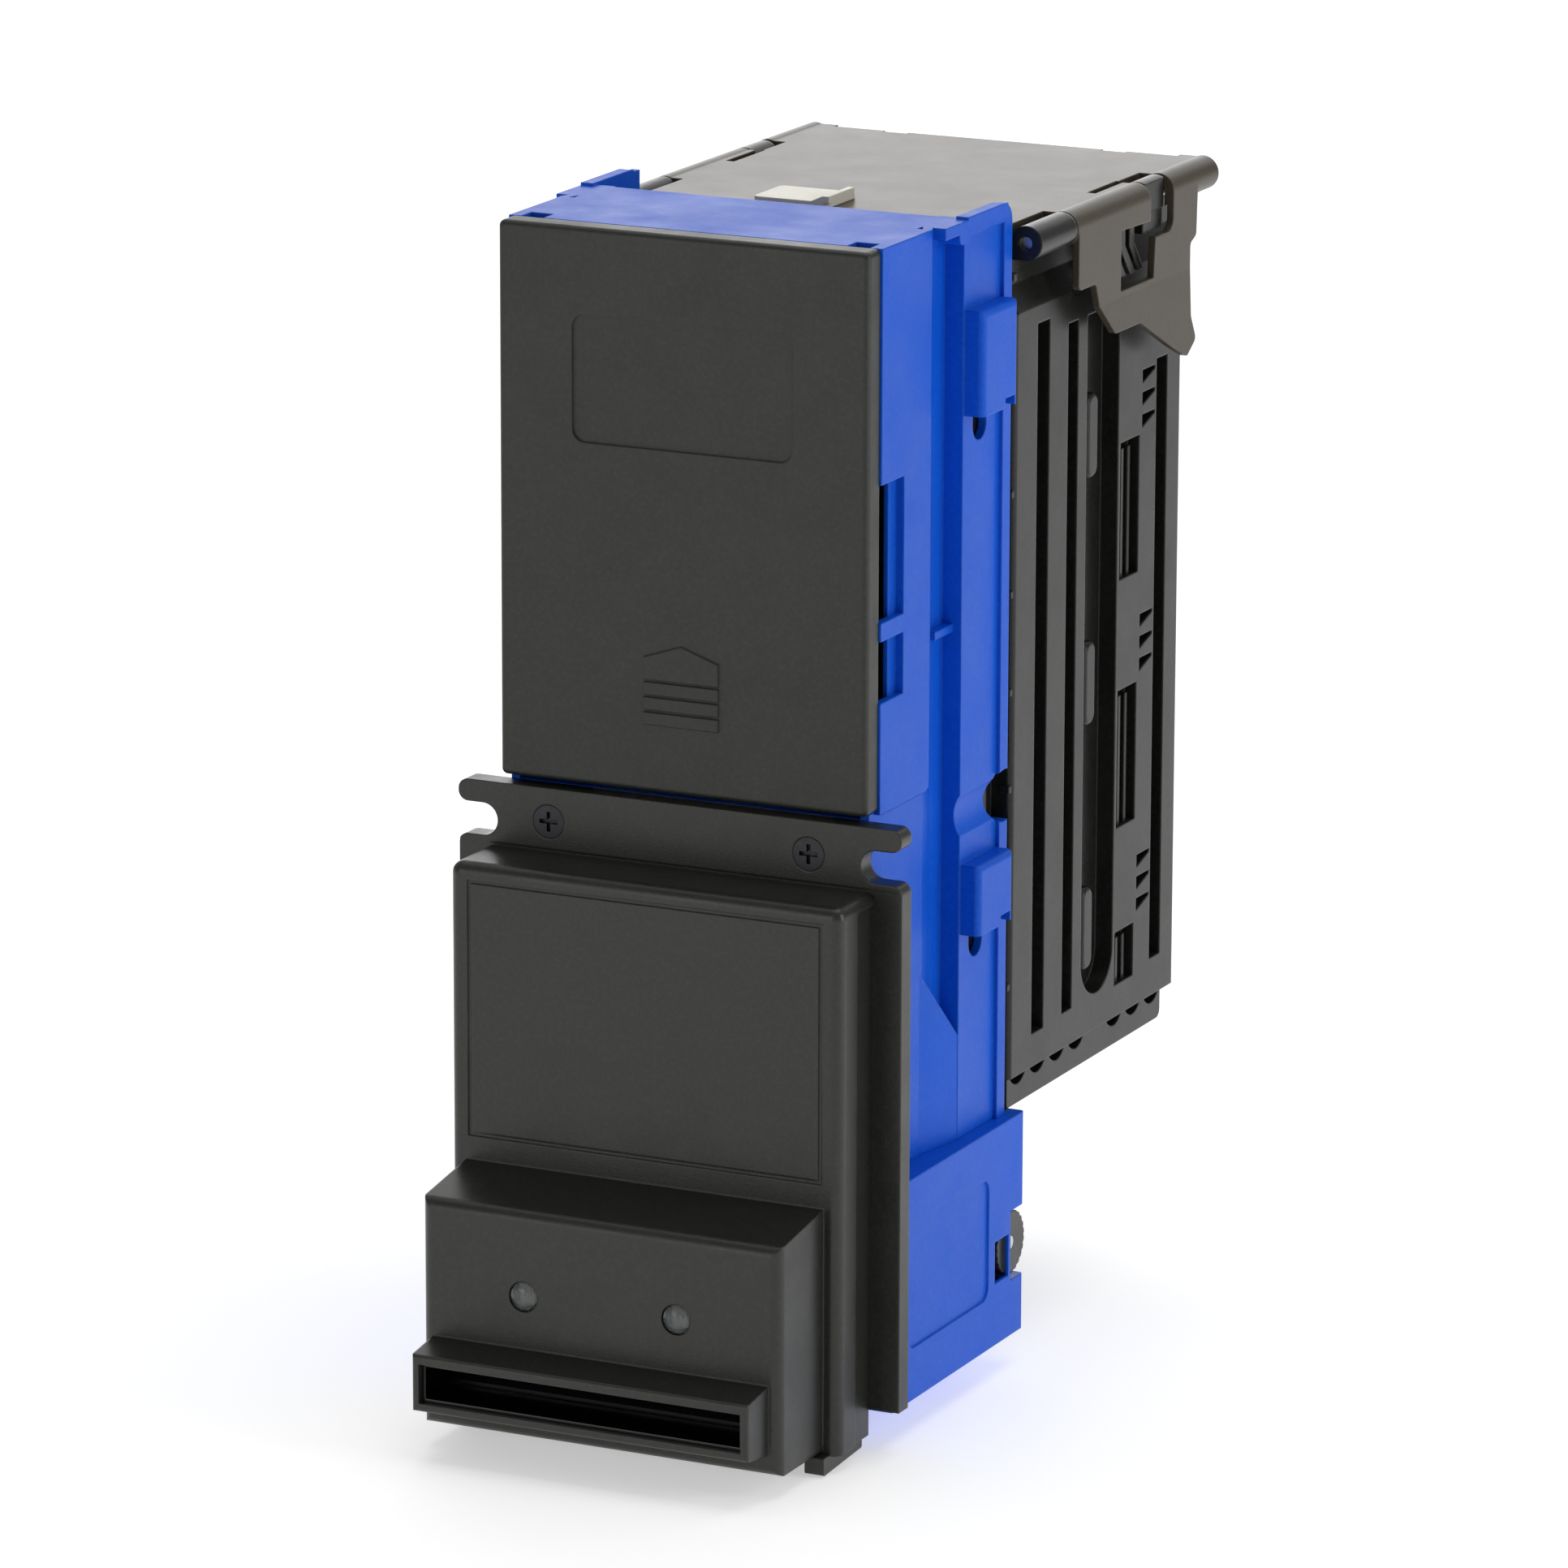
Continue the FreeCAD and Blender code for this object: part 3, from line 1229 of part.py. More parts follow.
def make_chevrons():
    """Kinked ribs on the set-back wall that show through the flap's window."""
    x0 = box_shoulder_x - 0.5
    x1 = hinge_x + hinge_radius - flap_thickness - 1.2
    ribs = []
    for step in range(3):
        y = flap_front_y + 24.4 + step * 5.0
        low = box_shoulder
        ribs.append(prism_x([(y, low + 12), (y, low + 6.5), (y + 5.4, low), (y + 8.2, low),
                             (y + 2.6, low + 7), (y + 2.6, low + 12)], x0, x1))
    return ribs


def make_cash_box_body():
    main = box(-box_half_width, box_half_width, box_front_y, box_rear_y, box_bottom, box_shoulder)
    main = rounded(main, 1.4, lambda axis, c: axis == "z")
    upper = box(-box_shoulder_x, box_shoulder_x, box_front_y, box_rear_y, box_bottom, box_rim)
    lean_in = prism_y([(box_shoulder_x - 1, box_shoulder - 1), (box_half_width, box_shoulder - 1),
                       (box_half_width, box_shoulder), (box_shoulder_x, box_shoulder + shoulder_rise),
                       (box_shoulder_x - 1, box_shoulder + shoulder_rise)],
                      box_front_y + 1.4, box_rear_y - 1.4)
    throat_bottom = box_bottom - throat_drop
    throat = join([box(-throat_half_width, throat_half_width, throat_front_y, box_front_y + 1,
                       box_bottom, throat_top),
                   box(-throat_half_width, throat_half_width, throat_front_y, box_front_y,
                       throat_bottom, box_bottom + 1)])
    runners = both_sides([box(throat_half_width - 1, throat_half_width + runner_reach,
                              runner_front_y, rail_rear_y - rail_lip_length - slide_clearance,
                              box_bottom - 2, throat_top - 2)])
    outer = join([main, upper, throat] + runners + both_sides([lean_in]))
    sump = box(-throat_half_width + throat_wall, throat_half_width - throat_wall,
               throat_front_y + throat_wall, box_front_y - box_wall, throat_bottom + box_wall,
               box_bottom + box_wall + 1)
    inside = box(-box_inner_x, box_inner_x, box_front_y + box_wall, box_rear_y - box_wall,
                 box_bottom + box_wall, box_rim + 1)
    throat_x = throat_half_width - throat_wall
    throat_inside = box(-throat_x, throat_x, throat_front_y + throat_wall, box_front_y + box_wall + 1,
                        box_bottom + box_wall, throat_top - throat_wall)
    window = box(-window_half_width, window_half_width, throat_front_y - 1,
                 throat_front_y + throat_wall + 1, window_bottom, window_top)
    behind_channel = both_sides([box(box_half_width - channel_depth - channel_wall, box_inner_x + 1,
                                     channel_front_y - channel_wall, channel_rear_y + channel_wall,
                                     box_bottom, channel_top + channel_wall)])
    inside = remove(inside, behind_channel)
    shell = remove(outer, [inside, throat_inside, sump, window] + both_sides(side_relief_cuts()))
    extras = make_chevrons()
    for y0, y1 in box_knuckles:
        extras.append(cyl_y(hinge_x, y0, y1, hinge_z, hinge_radius))
        extras.append(box(box_shoulder_x - 1, hinge_x, y0, y1, hinge_z - hinge_radius,
                          hinge_z - hinge_pin_radius - 0.7))
    y0, y1 = box_knuckles[1]
    extras.append(box(box_shoulder_x - 1, hinge_x + hinge_radius - flap_thickness - 0.6, y0, y1,
                      hinge_z - knuckle_bracket_drop, hinge_z - hinge_pin_radius - 0.7))
    extras += [box(throat_half_width + 2.6, box_half_width - 0.3, box_front_y - 0.8,
                   box_front_y + 1, z - tooth_half_size, z + tooth_half_size)
               for z in tooth_heights]
    shell = join([shell] + both_sides(extras))
    bores = both_sides([cyl_y(hinge_x, y0 - 1, y1 + 1, hinge_z, hinge_pin_radius)
                        for y0, y1 in box_knuckles])
    flap_path = box(hinge_x + hinge_radius - flap_thickness - seat_gap, hinge_x + hinge_radius + 1,
                    box_knuckles[1][0] - 1, box_knuckles[1][1] + 1,
                    hinge_z - hinge_radius - 1, hinge_z + hinge_radius + 1)
    return remove(shell, bores + [flap_path])


def make_cash_box_base():
    """Tray under the cash box with half-moon grips along both sides."""
    tray = box(-base_half_width, base_half_width, box_front_y + 0.4, base_rear_y, base_bottom,
               box_bottom)
    tray = rounded(tray, base_round, lambda axis, c: axis == "x" and c.z < box_bottom - 1
                   and c.y > base_rear_y - 1)
    grips = []
    for number in grip_numbers:
        y = grip_first_y + grip_pitch * number
        grips.append(cyl_x(base_half_width - grip_depth, base_half_width + past, y,
                           box_bottom + grip_rise, grip_radius))
    return remove(tray, both_sides(grips))


def make_pressure_plate():
    """Spring-loaded plate that keeps the stacked notes against the window frame."""
    y0 = plate_rest_y
    y1 = y0 + plate_thickness
    plate = box(-plate_half_width, plate_half_width, y0, y1, box_bottom + box_wall + 4,
                throat_top - throat_wall - 4)
    plate = rounded(plate, 5.0, lambda axis, c: axis == "y")
    ribs = [box(x - 0.8, x + 0.8, y1 - 0.5, y1 + 4, box_bottom + 18, throat_top - 15)
            for x in (4.0 - plate_half_width, -8, 8, plate_half_width - 4.0)]
    cups = [cyl_y(0, y1 - 0.5, y1 + 3, z, spring_radius + 2.2).cut(
            cyl_y(0, y1, y1 + 4, z, spring_radius + 0.9)) for z in spring_heights()]
    ribs = [remove(rib, [cyl_y(0, y1, y1 + 5, z, spring_radius + 1.5) for z in spring_heights()])
            for rib in ribs]
    return join([plate] + ribs + cups)


def spring_heights():
    middle = (box_bottom + throat_top) / 2
    return (middle - spring_spread, middle + spring_spread)


def make_pressure_springs():
    """Two open coil springs between the pressure plate and the rear wall."""
    y0 = plate_rest_y + plate_thickness
    y1 = box_rear_y - box_wall
    wire = spring_wire_radius
    length = y1 - y0 - 2 * wire
    springs = []
    for z in spring_heights():
        helix = Part.makeHelix(length / spring_turns, length, spring_radius)
        start = V(spring_radius, 0, 0)
        profile = Part.Wire(Part.makeCircle(wire, start, V(0, 1, 0)))
        coil = Part.Wire(helix.Edges).makePipeShell([profile], True, False)
        coil.rotate(V(0, 0, 0), V(1, 0, 0), -90)
        coil.translate(V(0, y0 + wire, z))
        springs.append(coil)
    return springs


# ---- Lid and catch --------------------------------------------------------------------------
def make_cash_box_lid():
    bottom = lid_top - lid_thickness
    plate = box(-lid_half_width, lid_half_width, lid_front_y, lid_rear_y, bottom, lid_top)
    inner_x = box_inner_x - slide_clearance
    inner_y0 = box_front_y + box_wall + slide_clearance
    inner_y1 = box_rear_y - box_wall - slide_clearance
    skirt = box(-inner_x, inner_x, inner_y0, inner_y1, bottom - 3, bottom + 0.1)
    skirt = skirt.cut(box(-inner_x + 1.6, inner_x - 1.6, inner_y0 + 1.6, inner_y1 - 1.6,
                          bottom - 4, bottom + 1))
    parts = [plate, skirt]
    for y0, y1 in lid_knuckles:
        parts += both_sides([cyl_y(hinge_x, y0, y1, hinge_z, hinge_radius),
                             box(lid_half_width - 1, hinge_x, y0, y1, bottom, lid_top)])
    lid = join(parts)
    left_bores = [cyl_y(-hinge_x, y0 - 1, y1 + 1, hinge_z, hinge_pin_radius + shaft_clearance)
                  for y0, y1 in lid_knuckles]
    opening = hinge_pin_radius + 0.15
    snap = [cyl_y(hinge_x, hinge_front_y - 1, hinge_rear_y + 1, hinge_z, opening),
            box(hinge_x - opening, hinge_x + opening, hinge_front_y - 1, hinge_rear_y + 1,
                hinge_z - hinge_radius - 1, hinge_z)]
    slots = both_sides([box(lid_half_width - 0.5, hinge_x - hinge_radius + 0.8,
                            second_barrel_end - 15.4, second_barrel_end + 1, bottom - 1,
                            lid_top + 1)])
    notches = [box(x - 3, x + 3, lid_rear_y - 1.2, lid_rear_y + 1, bottom - 1, lid_top + 1)
               for x in (-27.5, 28.0)]
    tab_slot = box(tab_stem_x()[0] - 0.4, tab_stem_x()[1] + 0.4, tab_stem_y()[0] - 0.4,
                   tab_stem_y()[1] + tab_travel + 0.4, bottom - 1, lid_top + 1)
    lid = remove(lid, left_bores + snap + slots + notches + [tab_slot])
    return join([lid, make_lid_flap()])


def make_lid_flap():
    """Pull flap that hangs from the right-hand barrels outside the wall."""
    x1 = hinge_x + hinge_radius
    x0 = x1 - flap_thickness
    front_y = flap_front_y
    rear_y = flap_rear_y
    fold = hinge_z - flap_fold_drop
    hem = fold + 5.7
    upright = prism_x([(front_y, hinge_z), (front_y, hem), (front_y + 9.4, hem),
                       (front_y + 11.6, fold), (rear_y, fold), (rear_y, hem + 0.3),
                       (rear_y + 3.4, hem + 1.7), (rear_y + 4.0, hinge_z)], x0, x1)
    around_knuckle = box(x0 - 1, x1 + 1, lid_knuckles[0][1], lid_knuckles[1][0],
                         hinge_z - knuckle_bracket_drop - 0.8, hinge_z + 1)
    around_knuckle = rounded(around_knuckle, 3.0, lambda axis, c: axis == "x" and c.z < hinge_z)
    window = prism_x([(front_y + 23.3, hinge_z - 4.2), (front_y + 23.3, fold + 1.6),
                      (front_y + 41.8, fold + 1.6), (front_y + 43.0, hinge_z - 4.8)], x0 - 1, x1 + 1)
    top = fold + 0.2
    tip = hinge_z - flap_lip_drop
    lip = prism_x([(front_y + 11.6, top), (front_y + 19.8, tip + 12.0), (front_y + 33.8, tip + 12.0),
                   (rear_y - 13.0, tip + 4.0), (rear_y - 3.5, tip - 0.2), (rear_y + 2.0, tip + 3.0),
                   (rear_y - 0.4, tip + 8.6), (rear_y, top)], x0, x1)
    upright = rounded(upright, flap_corner, lambda axis, c: axis == "x" and c.z > fold + 1
                      and c.z < hinge_z - 1)
    lip = rounded(lip, flap_corner, lambda axis, c: axis == "x" and c.z < fold - 1)
    lean = FreeCAD.Matrix()
    slope = flap_lip_lean / (fold - tip)
    lean.A13 = -slope
    lean.A14 = slope * top
    lip = lip.transformGeometry(lean)
    return join([remove(upright, [around_knuckle, window]), lip])


def tab_stem_x():
    return -8.5, -4.5


def tab_stem_y():
    return 72.6, 76.6


def make_lid_catch():
    """Pale thumb slide on the lid with a stem and a nose under it."""
    z0 = lid_top + 0.1
    plate = box(tab_left_x, tab_right_x, tab_front_y, tab_rear_y, z0, z0 + 1.3)
    ridge = prism_y([(tab_right_x - 5, z0 + 1.0), (tab_right_x - 1.5, z0 + 2.6),
                     (tab_right_x, z0 + 2.6), (tab_right_x, z0 + 1.0)], tab_front_y, tab_rear_y - 1.5)
    plate = rounded(plate, 1.5, lambda axis, c: axis == "z")
    x0, x1 = tab_stem_x()
    y0, y1 = tab_stem_y()
    under = lid_top - lid_thickness - 0.2
    stem = box(x0, x1, y0, y1, under - 1, z0 + 0.5)
    nose = box(x0 - 2, x1 + 2, y0 - 0.6, y1 + 1, under - 1.6, under)
    return join([plate, ridge, stem, nose])


def hinge_pin(side):
    return cyl_y(side * hinge_x, hinge_front_y + 1.5, hinge_rear_y - 1.0, hinge_z, hinge_pin_radius)


# ---- All nodes ------------------------------------------------------------------------------
def main():
    os.makedirs("parts", exist_ok=True)
    outer_x = frame_outer_x()
    export("flange_plate", [make_flange_plate()])
    export("front_bezel", [make_front_bezel()])
    export("bezel_screws", make_bezel_screws())
    export("mouth_insert", [make_mouth_insert()])
    export("led_lenses", [make_lens(-1), make_lens(1)])
    export("indicator_board", [make_indicator_board()])
    export("indicator_leds", make_indicator_leds())

    export("lower_note_guide", [make_lower_note_guide()])
    export("upper_note_guide", [make_upper_note_guide()])
    export("turn_guide", [make_turn_guide()])
    export("sensor_board", [make_sensor_board()])
    export("optical_sensors", make_optical_sensors())

    export("side_frame_right", [make_side_frame()])
    export("side_frame_left", [mirror_x(make_side_frame())])
    export("frame_screws", make_frame_screws())

    export("feed_shaft", [shaft_x(outer_x, feed_shaft_y, feed_shaft_z, feed_shaft_radius)])
    export("feed_rollers", make_wheels(roller_inner_x, roller_width, feed_shaft_y, feed_shaft_z,
                                       feed_roller_radius, feed_shaft_radius))
    export("feed_pulley", [make_timing_pulley(feed_shaft_y, feed_shaft_z, feed_pulley_radius,
                                              feed_shaft_radius)])
    export("pinch_shaft", [shaft_x(outer_x, feed_shaft_y, pinch_shaft_z, pinch_shaft_radius)])
    export("pinch_rollers", make_wheels(roller_inner_x, roller_width, feed_shaft_y, pinch_shaft_z,
                                        pinch_roller_radius, pinch_shaft_radius))
    export("drum_shaft", [cyl_x(-train_end_x(), outer_x, drum_y, drum_z, drum_shaft_radius)])
    export("belt_drums", make_wheels(belt_inner_x - 1, belt_width + 1.6, drum_y, drum_z,
                                     drum_radius(), drum_shaft_radius))
    export("centre_drum", [ring_x(-centre_drum_half_width, centre_drum_half_width, drum_y, drum_z,
                                  belt_line_radius - belt_gap, drum_shaft_radius)])
    export("drum_pulley", [make_timing_pulley(drum_y, drum_z, drum_pulley_radius(),
                                              drum_shaft_radius)])
    export("drum_gear", [make_train_gear("drum", drum_shaft_radius)])
    export("timing_belt", [make_timing_belt()])
    export("transport_belts", [make_transport_belt(), mirror_x(make_transport_belt())])
    head_y = head_pulley_y()
    export("head_shaft", [shaft_x(groove_floor_x - 0.8, head_y, head_pulley_z, head_shaft_radius)])
    export("head_pulleys", make_wheels(belt_inner_x - 0.5, belt_width + 1.0, head_y, head_pulley_z,
                                       head_pulley_radius, head_shaft_radius))
    idler_y, idler_z = idler_place()
    export("idler_gear", [make_train_gear("idler", idler_stud_radius + shaft_clearance)])
    export("idler_stud", [cyl_x(-train_end_x(), -outer_x, idler_y, idler_z, idler_stud_radius)])
    export("thumb_gear", [make_train_gear("thumb", thumb_shaft_radius)])
    export("thumb_shaft", [cyl_x(-train_end_x(), thumbwheel_inner_x + thumbwheel_width,
                                 thumbwheel_y, thumbwheel_z, thumb_shaft_radius)])
    export("thumbwheel", [make_thumbwheel()])
    export("motor_pinion", [make_motor_pinion()])
    export("transport_motor", [make_transport_motor()])

    export("service_cover", [make_service_cover()])
    export("upper_housing", [make_upper_housing()])
    export("lower_housing", [make_lower_housing()])
    export("path_plate", [make_path_plate()])
    export("stacker_frame", [make_stacker_frame()])
    export("push_plate", [make_push_plate()])
    export("push_racks", make_push_racks())
    export("stacker_shaft", [shaft_x(stacker_side_x + stacker_sheet, pinion_y, pinion_z,
                                     stacker_shaft_radius)])
    export("stacker_pinions", make_stacker_pinions())
    export("stacker_gear", [make_stacker_gear()])
    export("stacker_motor", [make_stacker_motor()])
    export("stacker_motor_gear", [make_stacker_motor_gear(), make_stacker_motor_shaft()])

    export("main_board", [make_main_board()])
    export("board_screws", make_board_screws())
    export("board_chips", make_board_chips())
    export("board_capacitors", make_board_capacitors())
    export("board_headers", make_board_headers())

    export("cash_box_body", [make_cash_box_body()])
    export("cash_box_base", [make_cash_box_base()])
    export("pressure_plate", [make_pressure_plate()])
    export("pressure_springs", make_pressure_springs())
    export("cash_box_lid", [make_cash_box_lid()])
    export("hinge_pins", [hinge_pin(-1), hinge_pin(1)])
    export("lid_catch", [make_lid_catch()])


main()
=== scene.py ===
import bpy, bmesh, json, math
from mathutils import Vector, Matrix


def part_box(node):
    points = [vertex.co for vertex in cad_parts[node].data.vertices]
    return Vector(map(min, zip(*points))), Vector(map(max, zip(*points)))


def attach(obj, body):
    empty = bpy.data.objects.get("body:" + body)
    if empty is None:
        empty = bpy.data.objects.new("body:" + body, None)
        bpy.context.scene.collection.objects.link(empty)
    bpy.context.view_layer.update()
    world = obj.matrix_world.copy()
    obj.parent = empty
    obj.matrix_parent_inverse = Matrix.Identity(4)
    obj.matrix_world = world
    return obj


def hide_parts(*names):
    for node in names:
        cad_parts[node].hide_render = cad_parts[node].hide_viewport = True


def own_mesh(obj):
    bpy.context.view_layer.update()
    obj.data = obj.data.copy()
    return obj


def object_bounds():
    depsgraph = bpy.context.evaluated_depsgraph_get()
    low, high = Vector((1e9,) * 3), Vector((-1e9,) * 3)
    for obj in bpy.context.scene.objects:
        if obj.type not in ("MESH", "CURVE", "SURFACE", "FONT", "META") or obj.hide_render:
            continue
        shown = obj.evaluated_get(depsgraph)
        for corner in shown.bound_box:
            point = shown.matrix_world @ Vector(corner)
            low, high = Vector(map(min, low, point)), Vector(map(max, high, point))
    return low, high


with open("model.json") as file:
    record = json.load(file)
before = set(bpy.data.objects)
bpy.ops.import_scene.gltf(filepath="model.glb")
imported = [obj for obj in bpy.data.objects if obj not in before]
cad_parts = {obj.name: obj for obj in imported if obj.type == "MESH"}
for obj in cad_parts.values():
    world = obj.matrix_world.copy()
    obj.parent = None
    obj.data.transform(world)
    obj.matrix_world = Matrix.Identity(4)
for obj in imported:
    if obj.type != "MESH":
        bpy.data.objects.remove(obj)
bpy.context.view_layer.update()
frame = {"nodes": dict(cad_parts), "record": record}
nodes = frame["nodes"]
scene = bpy.context.scene


# ---- Materials ------------------------------------------------------------------------------
class Tree:
    """A material's node tree with short helpers."""

    def __init__(self, name):
        self.mat = bpy.data.materials.new(name)
        self.mat.use_nodes = True
        self.nodes = self.mat.node_tree.nodes
        self.links = self.mat.node_tree.links
        self.bsdf = self.nodes["Principled BSDF"]
        self.coord = self.nodes.new("ShaderNodeTexCoord").outputs["Object"]

    def new(self, kind, **settings):
        node = self.nodes.new(kind)
        for key, value in settings.items():
            setattr(node, key, value)
        return node

    def feed(self, socket, value):
        if isinstance(value, bpy.types.NodeSocket):
            self.links.new(value, socket)
        else:
            socket.default_value = value

    def noise(self, scale, detail=4.0, rough=0.5, stretch=(1, 1, 1)):
        place = self.new("ShaderNodeMapping")
        place.inputs["Scale"].default_value = stretch
        self.links.new(self.coord, place.inputs["Vector"])
        tex = self.new("ShaderNodeTexNoise")
        self.links.new(place.outputs[0], tex.inputs["Vector"])
        tex.inputs["Scale"].default_value = scale
        tex.inputs["Detail"].default_value = detail
        tex.inputs["Roughness"].default_value = rough
        return tex.outputs["Fac"]

    def span(self, value, low, high, to_low=0.0, to_high=1.0):
        node = self.new("ShaderNodeMapRange")
        self.feed(node.inputs["Value"], value)
        node.inputs["From Min"].default_value = low
        node.inputs["From Max"].default_value = high
        node.inputs["To Min"].default_value = to_low
        node.inputs["To Max"].default_value = to_high
        return node.outputs["Result"]

    def mix(self, factor, a, b):
        node = self.new("ShaderNodeMix", data_type="RGBA")
        self.feed(node.inputs["Factor"], factor)
        self.feed(node.inputs["A"], (*a, 1) if isinstance(a, tuple) else a)
        self.feed(node.inputs["B"], (*b, 1) if isinstance(b, tuple) else b)
        return node.outputs["Result"]

    def edge_wear(self):
        """Near 1 on sharp outer edges: how far a bevelled normal leans from the true one."""
        bevel = self.new("ShaderNodeBevel", samples=4)
        bevel.inputs["Radius"].default_value = 0.0006
        geo = self.new("ShaderNodeNewGeometry")
        dot = self.new("ShaderNodeVectorMath", operation="DOT_PRODUCT")
        self.links.new(bevel.outputs[0], dot.inputs[0])
        self.links.new(geo.outputs["Normal"], dot.inputs[1])
        return self.span(dot.outputs["Value"], 0.98, 0.80)

    def bump(self, height, strength, distance=0.0002, normal=None):
        node = self.new("ShaderNodeBump")
        node.inputs["Strength"].default_value = strength
        node.inputs["Distance"].default_value = distance
        self.links.new(height, node.inputs["Height"])
        if normal is not None:
            self.links.new(normal, node.inputs["Normal"])
        return node.outputs[0]

    def soft_edges(self, radius):
        """A normal that rounds every edge by the radius when it is shaded."""
        bevel = self.new("ShaderNodeBevel", samples=6)
        bevel.inputs["Radius"].default_value = radius
        return bevel.outputs[0]

    def put(self, name, value):
        socket = self.bsdf.inputs[name]
        if isinstance(value, tuple):
            value = (*value, 1)
        self.feed(socket, value)


def shade(colour, factor):
    """A colour made darker or lighter by a factor."""
    return tuple(min(1.0, c * factor) for c in colour)


def moulded_plastic(name, colour, rough, grain, worn=None, vary=0.12, edge=0.0004,
                    specular=0.35, cloud=0.06):
    """Injection-moulded plastic: spark-eroded grain, flow tint, dust and rubbed edges."""
    t = Tree(name)
    worn = worn or shade([c + 0.02 for c in colour], 1.5)
    tint = t.mix(t.noise(18, 3, 0.6), shade(colour, 1 - vary), shade(colour, 1 + vary))
    speck = t.span(t.noise(900, 3, 0.6), 0.45, 0.80)
    tint = t.mix(speck, tint, t.mix(0.25, tint, worn))
    rub = t.new("ShaderNodeMath", operation="MULTIPLY")
    t.links.new(t.edge_wear(), rub.inputs[0])
    t.links.new(t.span(t.noise(130, 4, 0.6), 0.40, 0.72, 0.05, 0.6), rub.inputs[1])
    t.put("Base Color", t.mix(rub.outputs[0], tint, worn))
    t.put("Roughness", t.span(t.noise(70, 5, 0.65), 0.3, 0.7, rough - cloud, rough + cloud))
    t.put("Specular IOR Level", specular)
    fine = t.bump(t.noise(2600, 2, 0.5), grain, 0.00010, t.soft_edges(edge))
    sink_marks = t.bump(t.noise(45, 2, 0.5), 0.03, 0.0006, fine)
    t.put("Normal", sink_marks)
    return t.mat


def gloss_plastic(name, colour, rough):
    """Polished plastic under a thin clear coat, smeared by handling."""
    t = Tree(name)
    t.put("Base Color", t.mix(t.noise(25, 3), shade(colour, 0.75), shade(colour, 1.3)))
    smear = t.span(t.noise(60, 5, 0.7, (1, 1, 3)), 0.35, 0.75, rough, rough + 0.14)
    t.put("Roughness", smear)
    t.put("Normal", t.bump(t.noise(220, 3), 0.03, 0.0002, t.soft_edges(0.0003)))
    t.put("Coat Weight", 0.4)
    t.put("Coat Roughness", 0.06)
    return t.mat


def steel(name, colour, rough=0.30, stretch=(60, 60, 3), scale=40):
    """Metal with fine lines; the stretch sets which way the lines run."""
    t = Tree(name)
    lines = t.noise(scale, 6, 0.7, stretch)
    t.put("Base Color", t.mix(t.noise(30, 4), shade(colour, 0.82), shade(colour, 1.12)))
    t.put("Metallic", 1.0)
    t.put("Roughness", t.span(lines, 0.3, 0.7, rough - 0.08, rough + 0.12))
    t.put("Normal", t.bump(lines, 0.08, 0.0001, t.soft_edges(0.0002)))
    return t.mat


def rubber(name, colour):
    """Matt rubber with pale dust in its pores."""
    t = Tree(name)
    dust = t.span(t.noise(160, 5, 0.7), 0.45, 0.8)
    t.put("Base Color", t.mix(dust, colour, shade([c + 0.03 for c in colour], 1.6)))
    t.put("Roughness", t.span(t.noise(300, 3), 0.3, 0.7, 0.62, 0.85))
    t.put("Normal", t.bump(t.noise(1500, 2), 0.35, 0.0001, t.soft_edges(0.0003)))
    return t.mat


def circuit_board(name):
    """Solder mask over copper runs, which show as a slightly raised, lighter pattern."""
    t = Tree(name)
    brick = t.new("ShaderNodeTexBrick")
    turn = t.new("ShaderNodeMapping")
    turn.inputs["Rotation"].default_value = (math.radians(90), 0, 0)
    t.links.new(t.coord, turn.inputs["Vector"])
    t.links.new(turn.outputs[0], brick.inputs["Vector"])
    brick.inputs["Scale"].default_value = 160
    brick.inputs["Mortar Size"].default_value = 0.035
    brick.inputs["Color1"].default_value = (0.004, 0.075, 0.026, 1)
    brick.inputs["Color2"].default_value = (0.006, 0.10, 0.034, 1)
    brick.inputs["Mortar"].default_value = (0.03, 0.22, 0.07, 1)
    t.put("Base Color", t.mix(t.noise(40, 3), brick.outputs["Color"], (0.004, 0.07, 0.028)))
    t.put("Roughness", t.span(t.noise(200, 3), 0.3, 0.7, 0.24, 0.42))
    t.put("Normal", t.bump(brick.outputs["Fac"], 0.25, 0.0001))
    return t.mat


def clear_plastic(name, colour):
    """Clear, slightly smoked plastic with a faint ripple."""
    t = Tree(name)
    t.put("Base Color", t.mix(t.noise(200, 3), shade(colour, 0.9), colour))
    t.put("Roughness", t.span(t.noise(400, 3), 0.3, 0.7, 0.03, 0.12))
    t.put("Transmission Weight", 0.92)
    t.put("IOR", 1.49)
    t.put("Normal", t.bump(t.noise(300, 2), 0.05, 0.0001))
    return t.mat


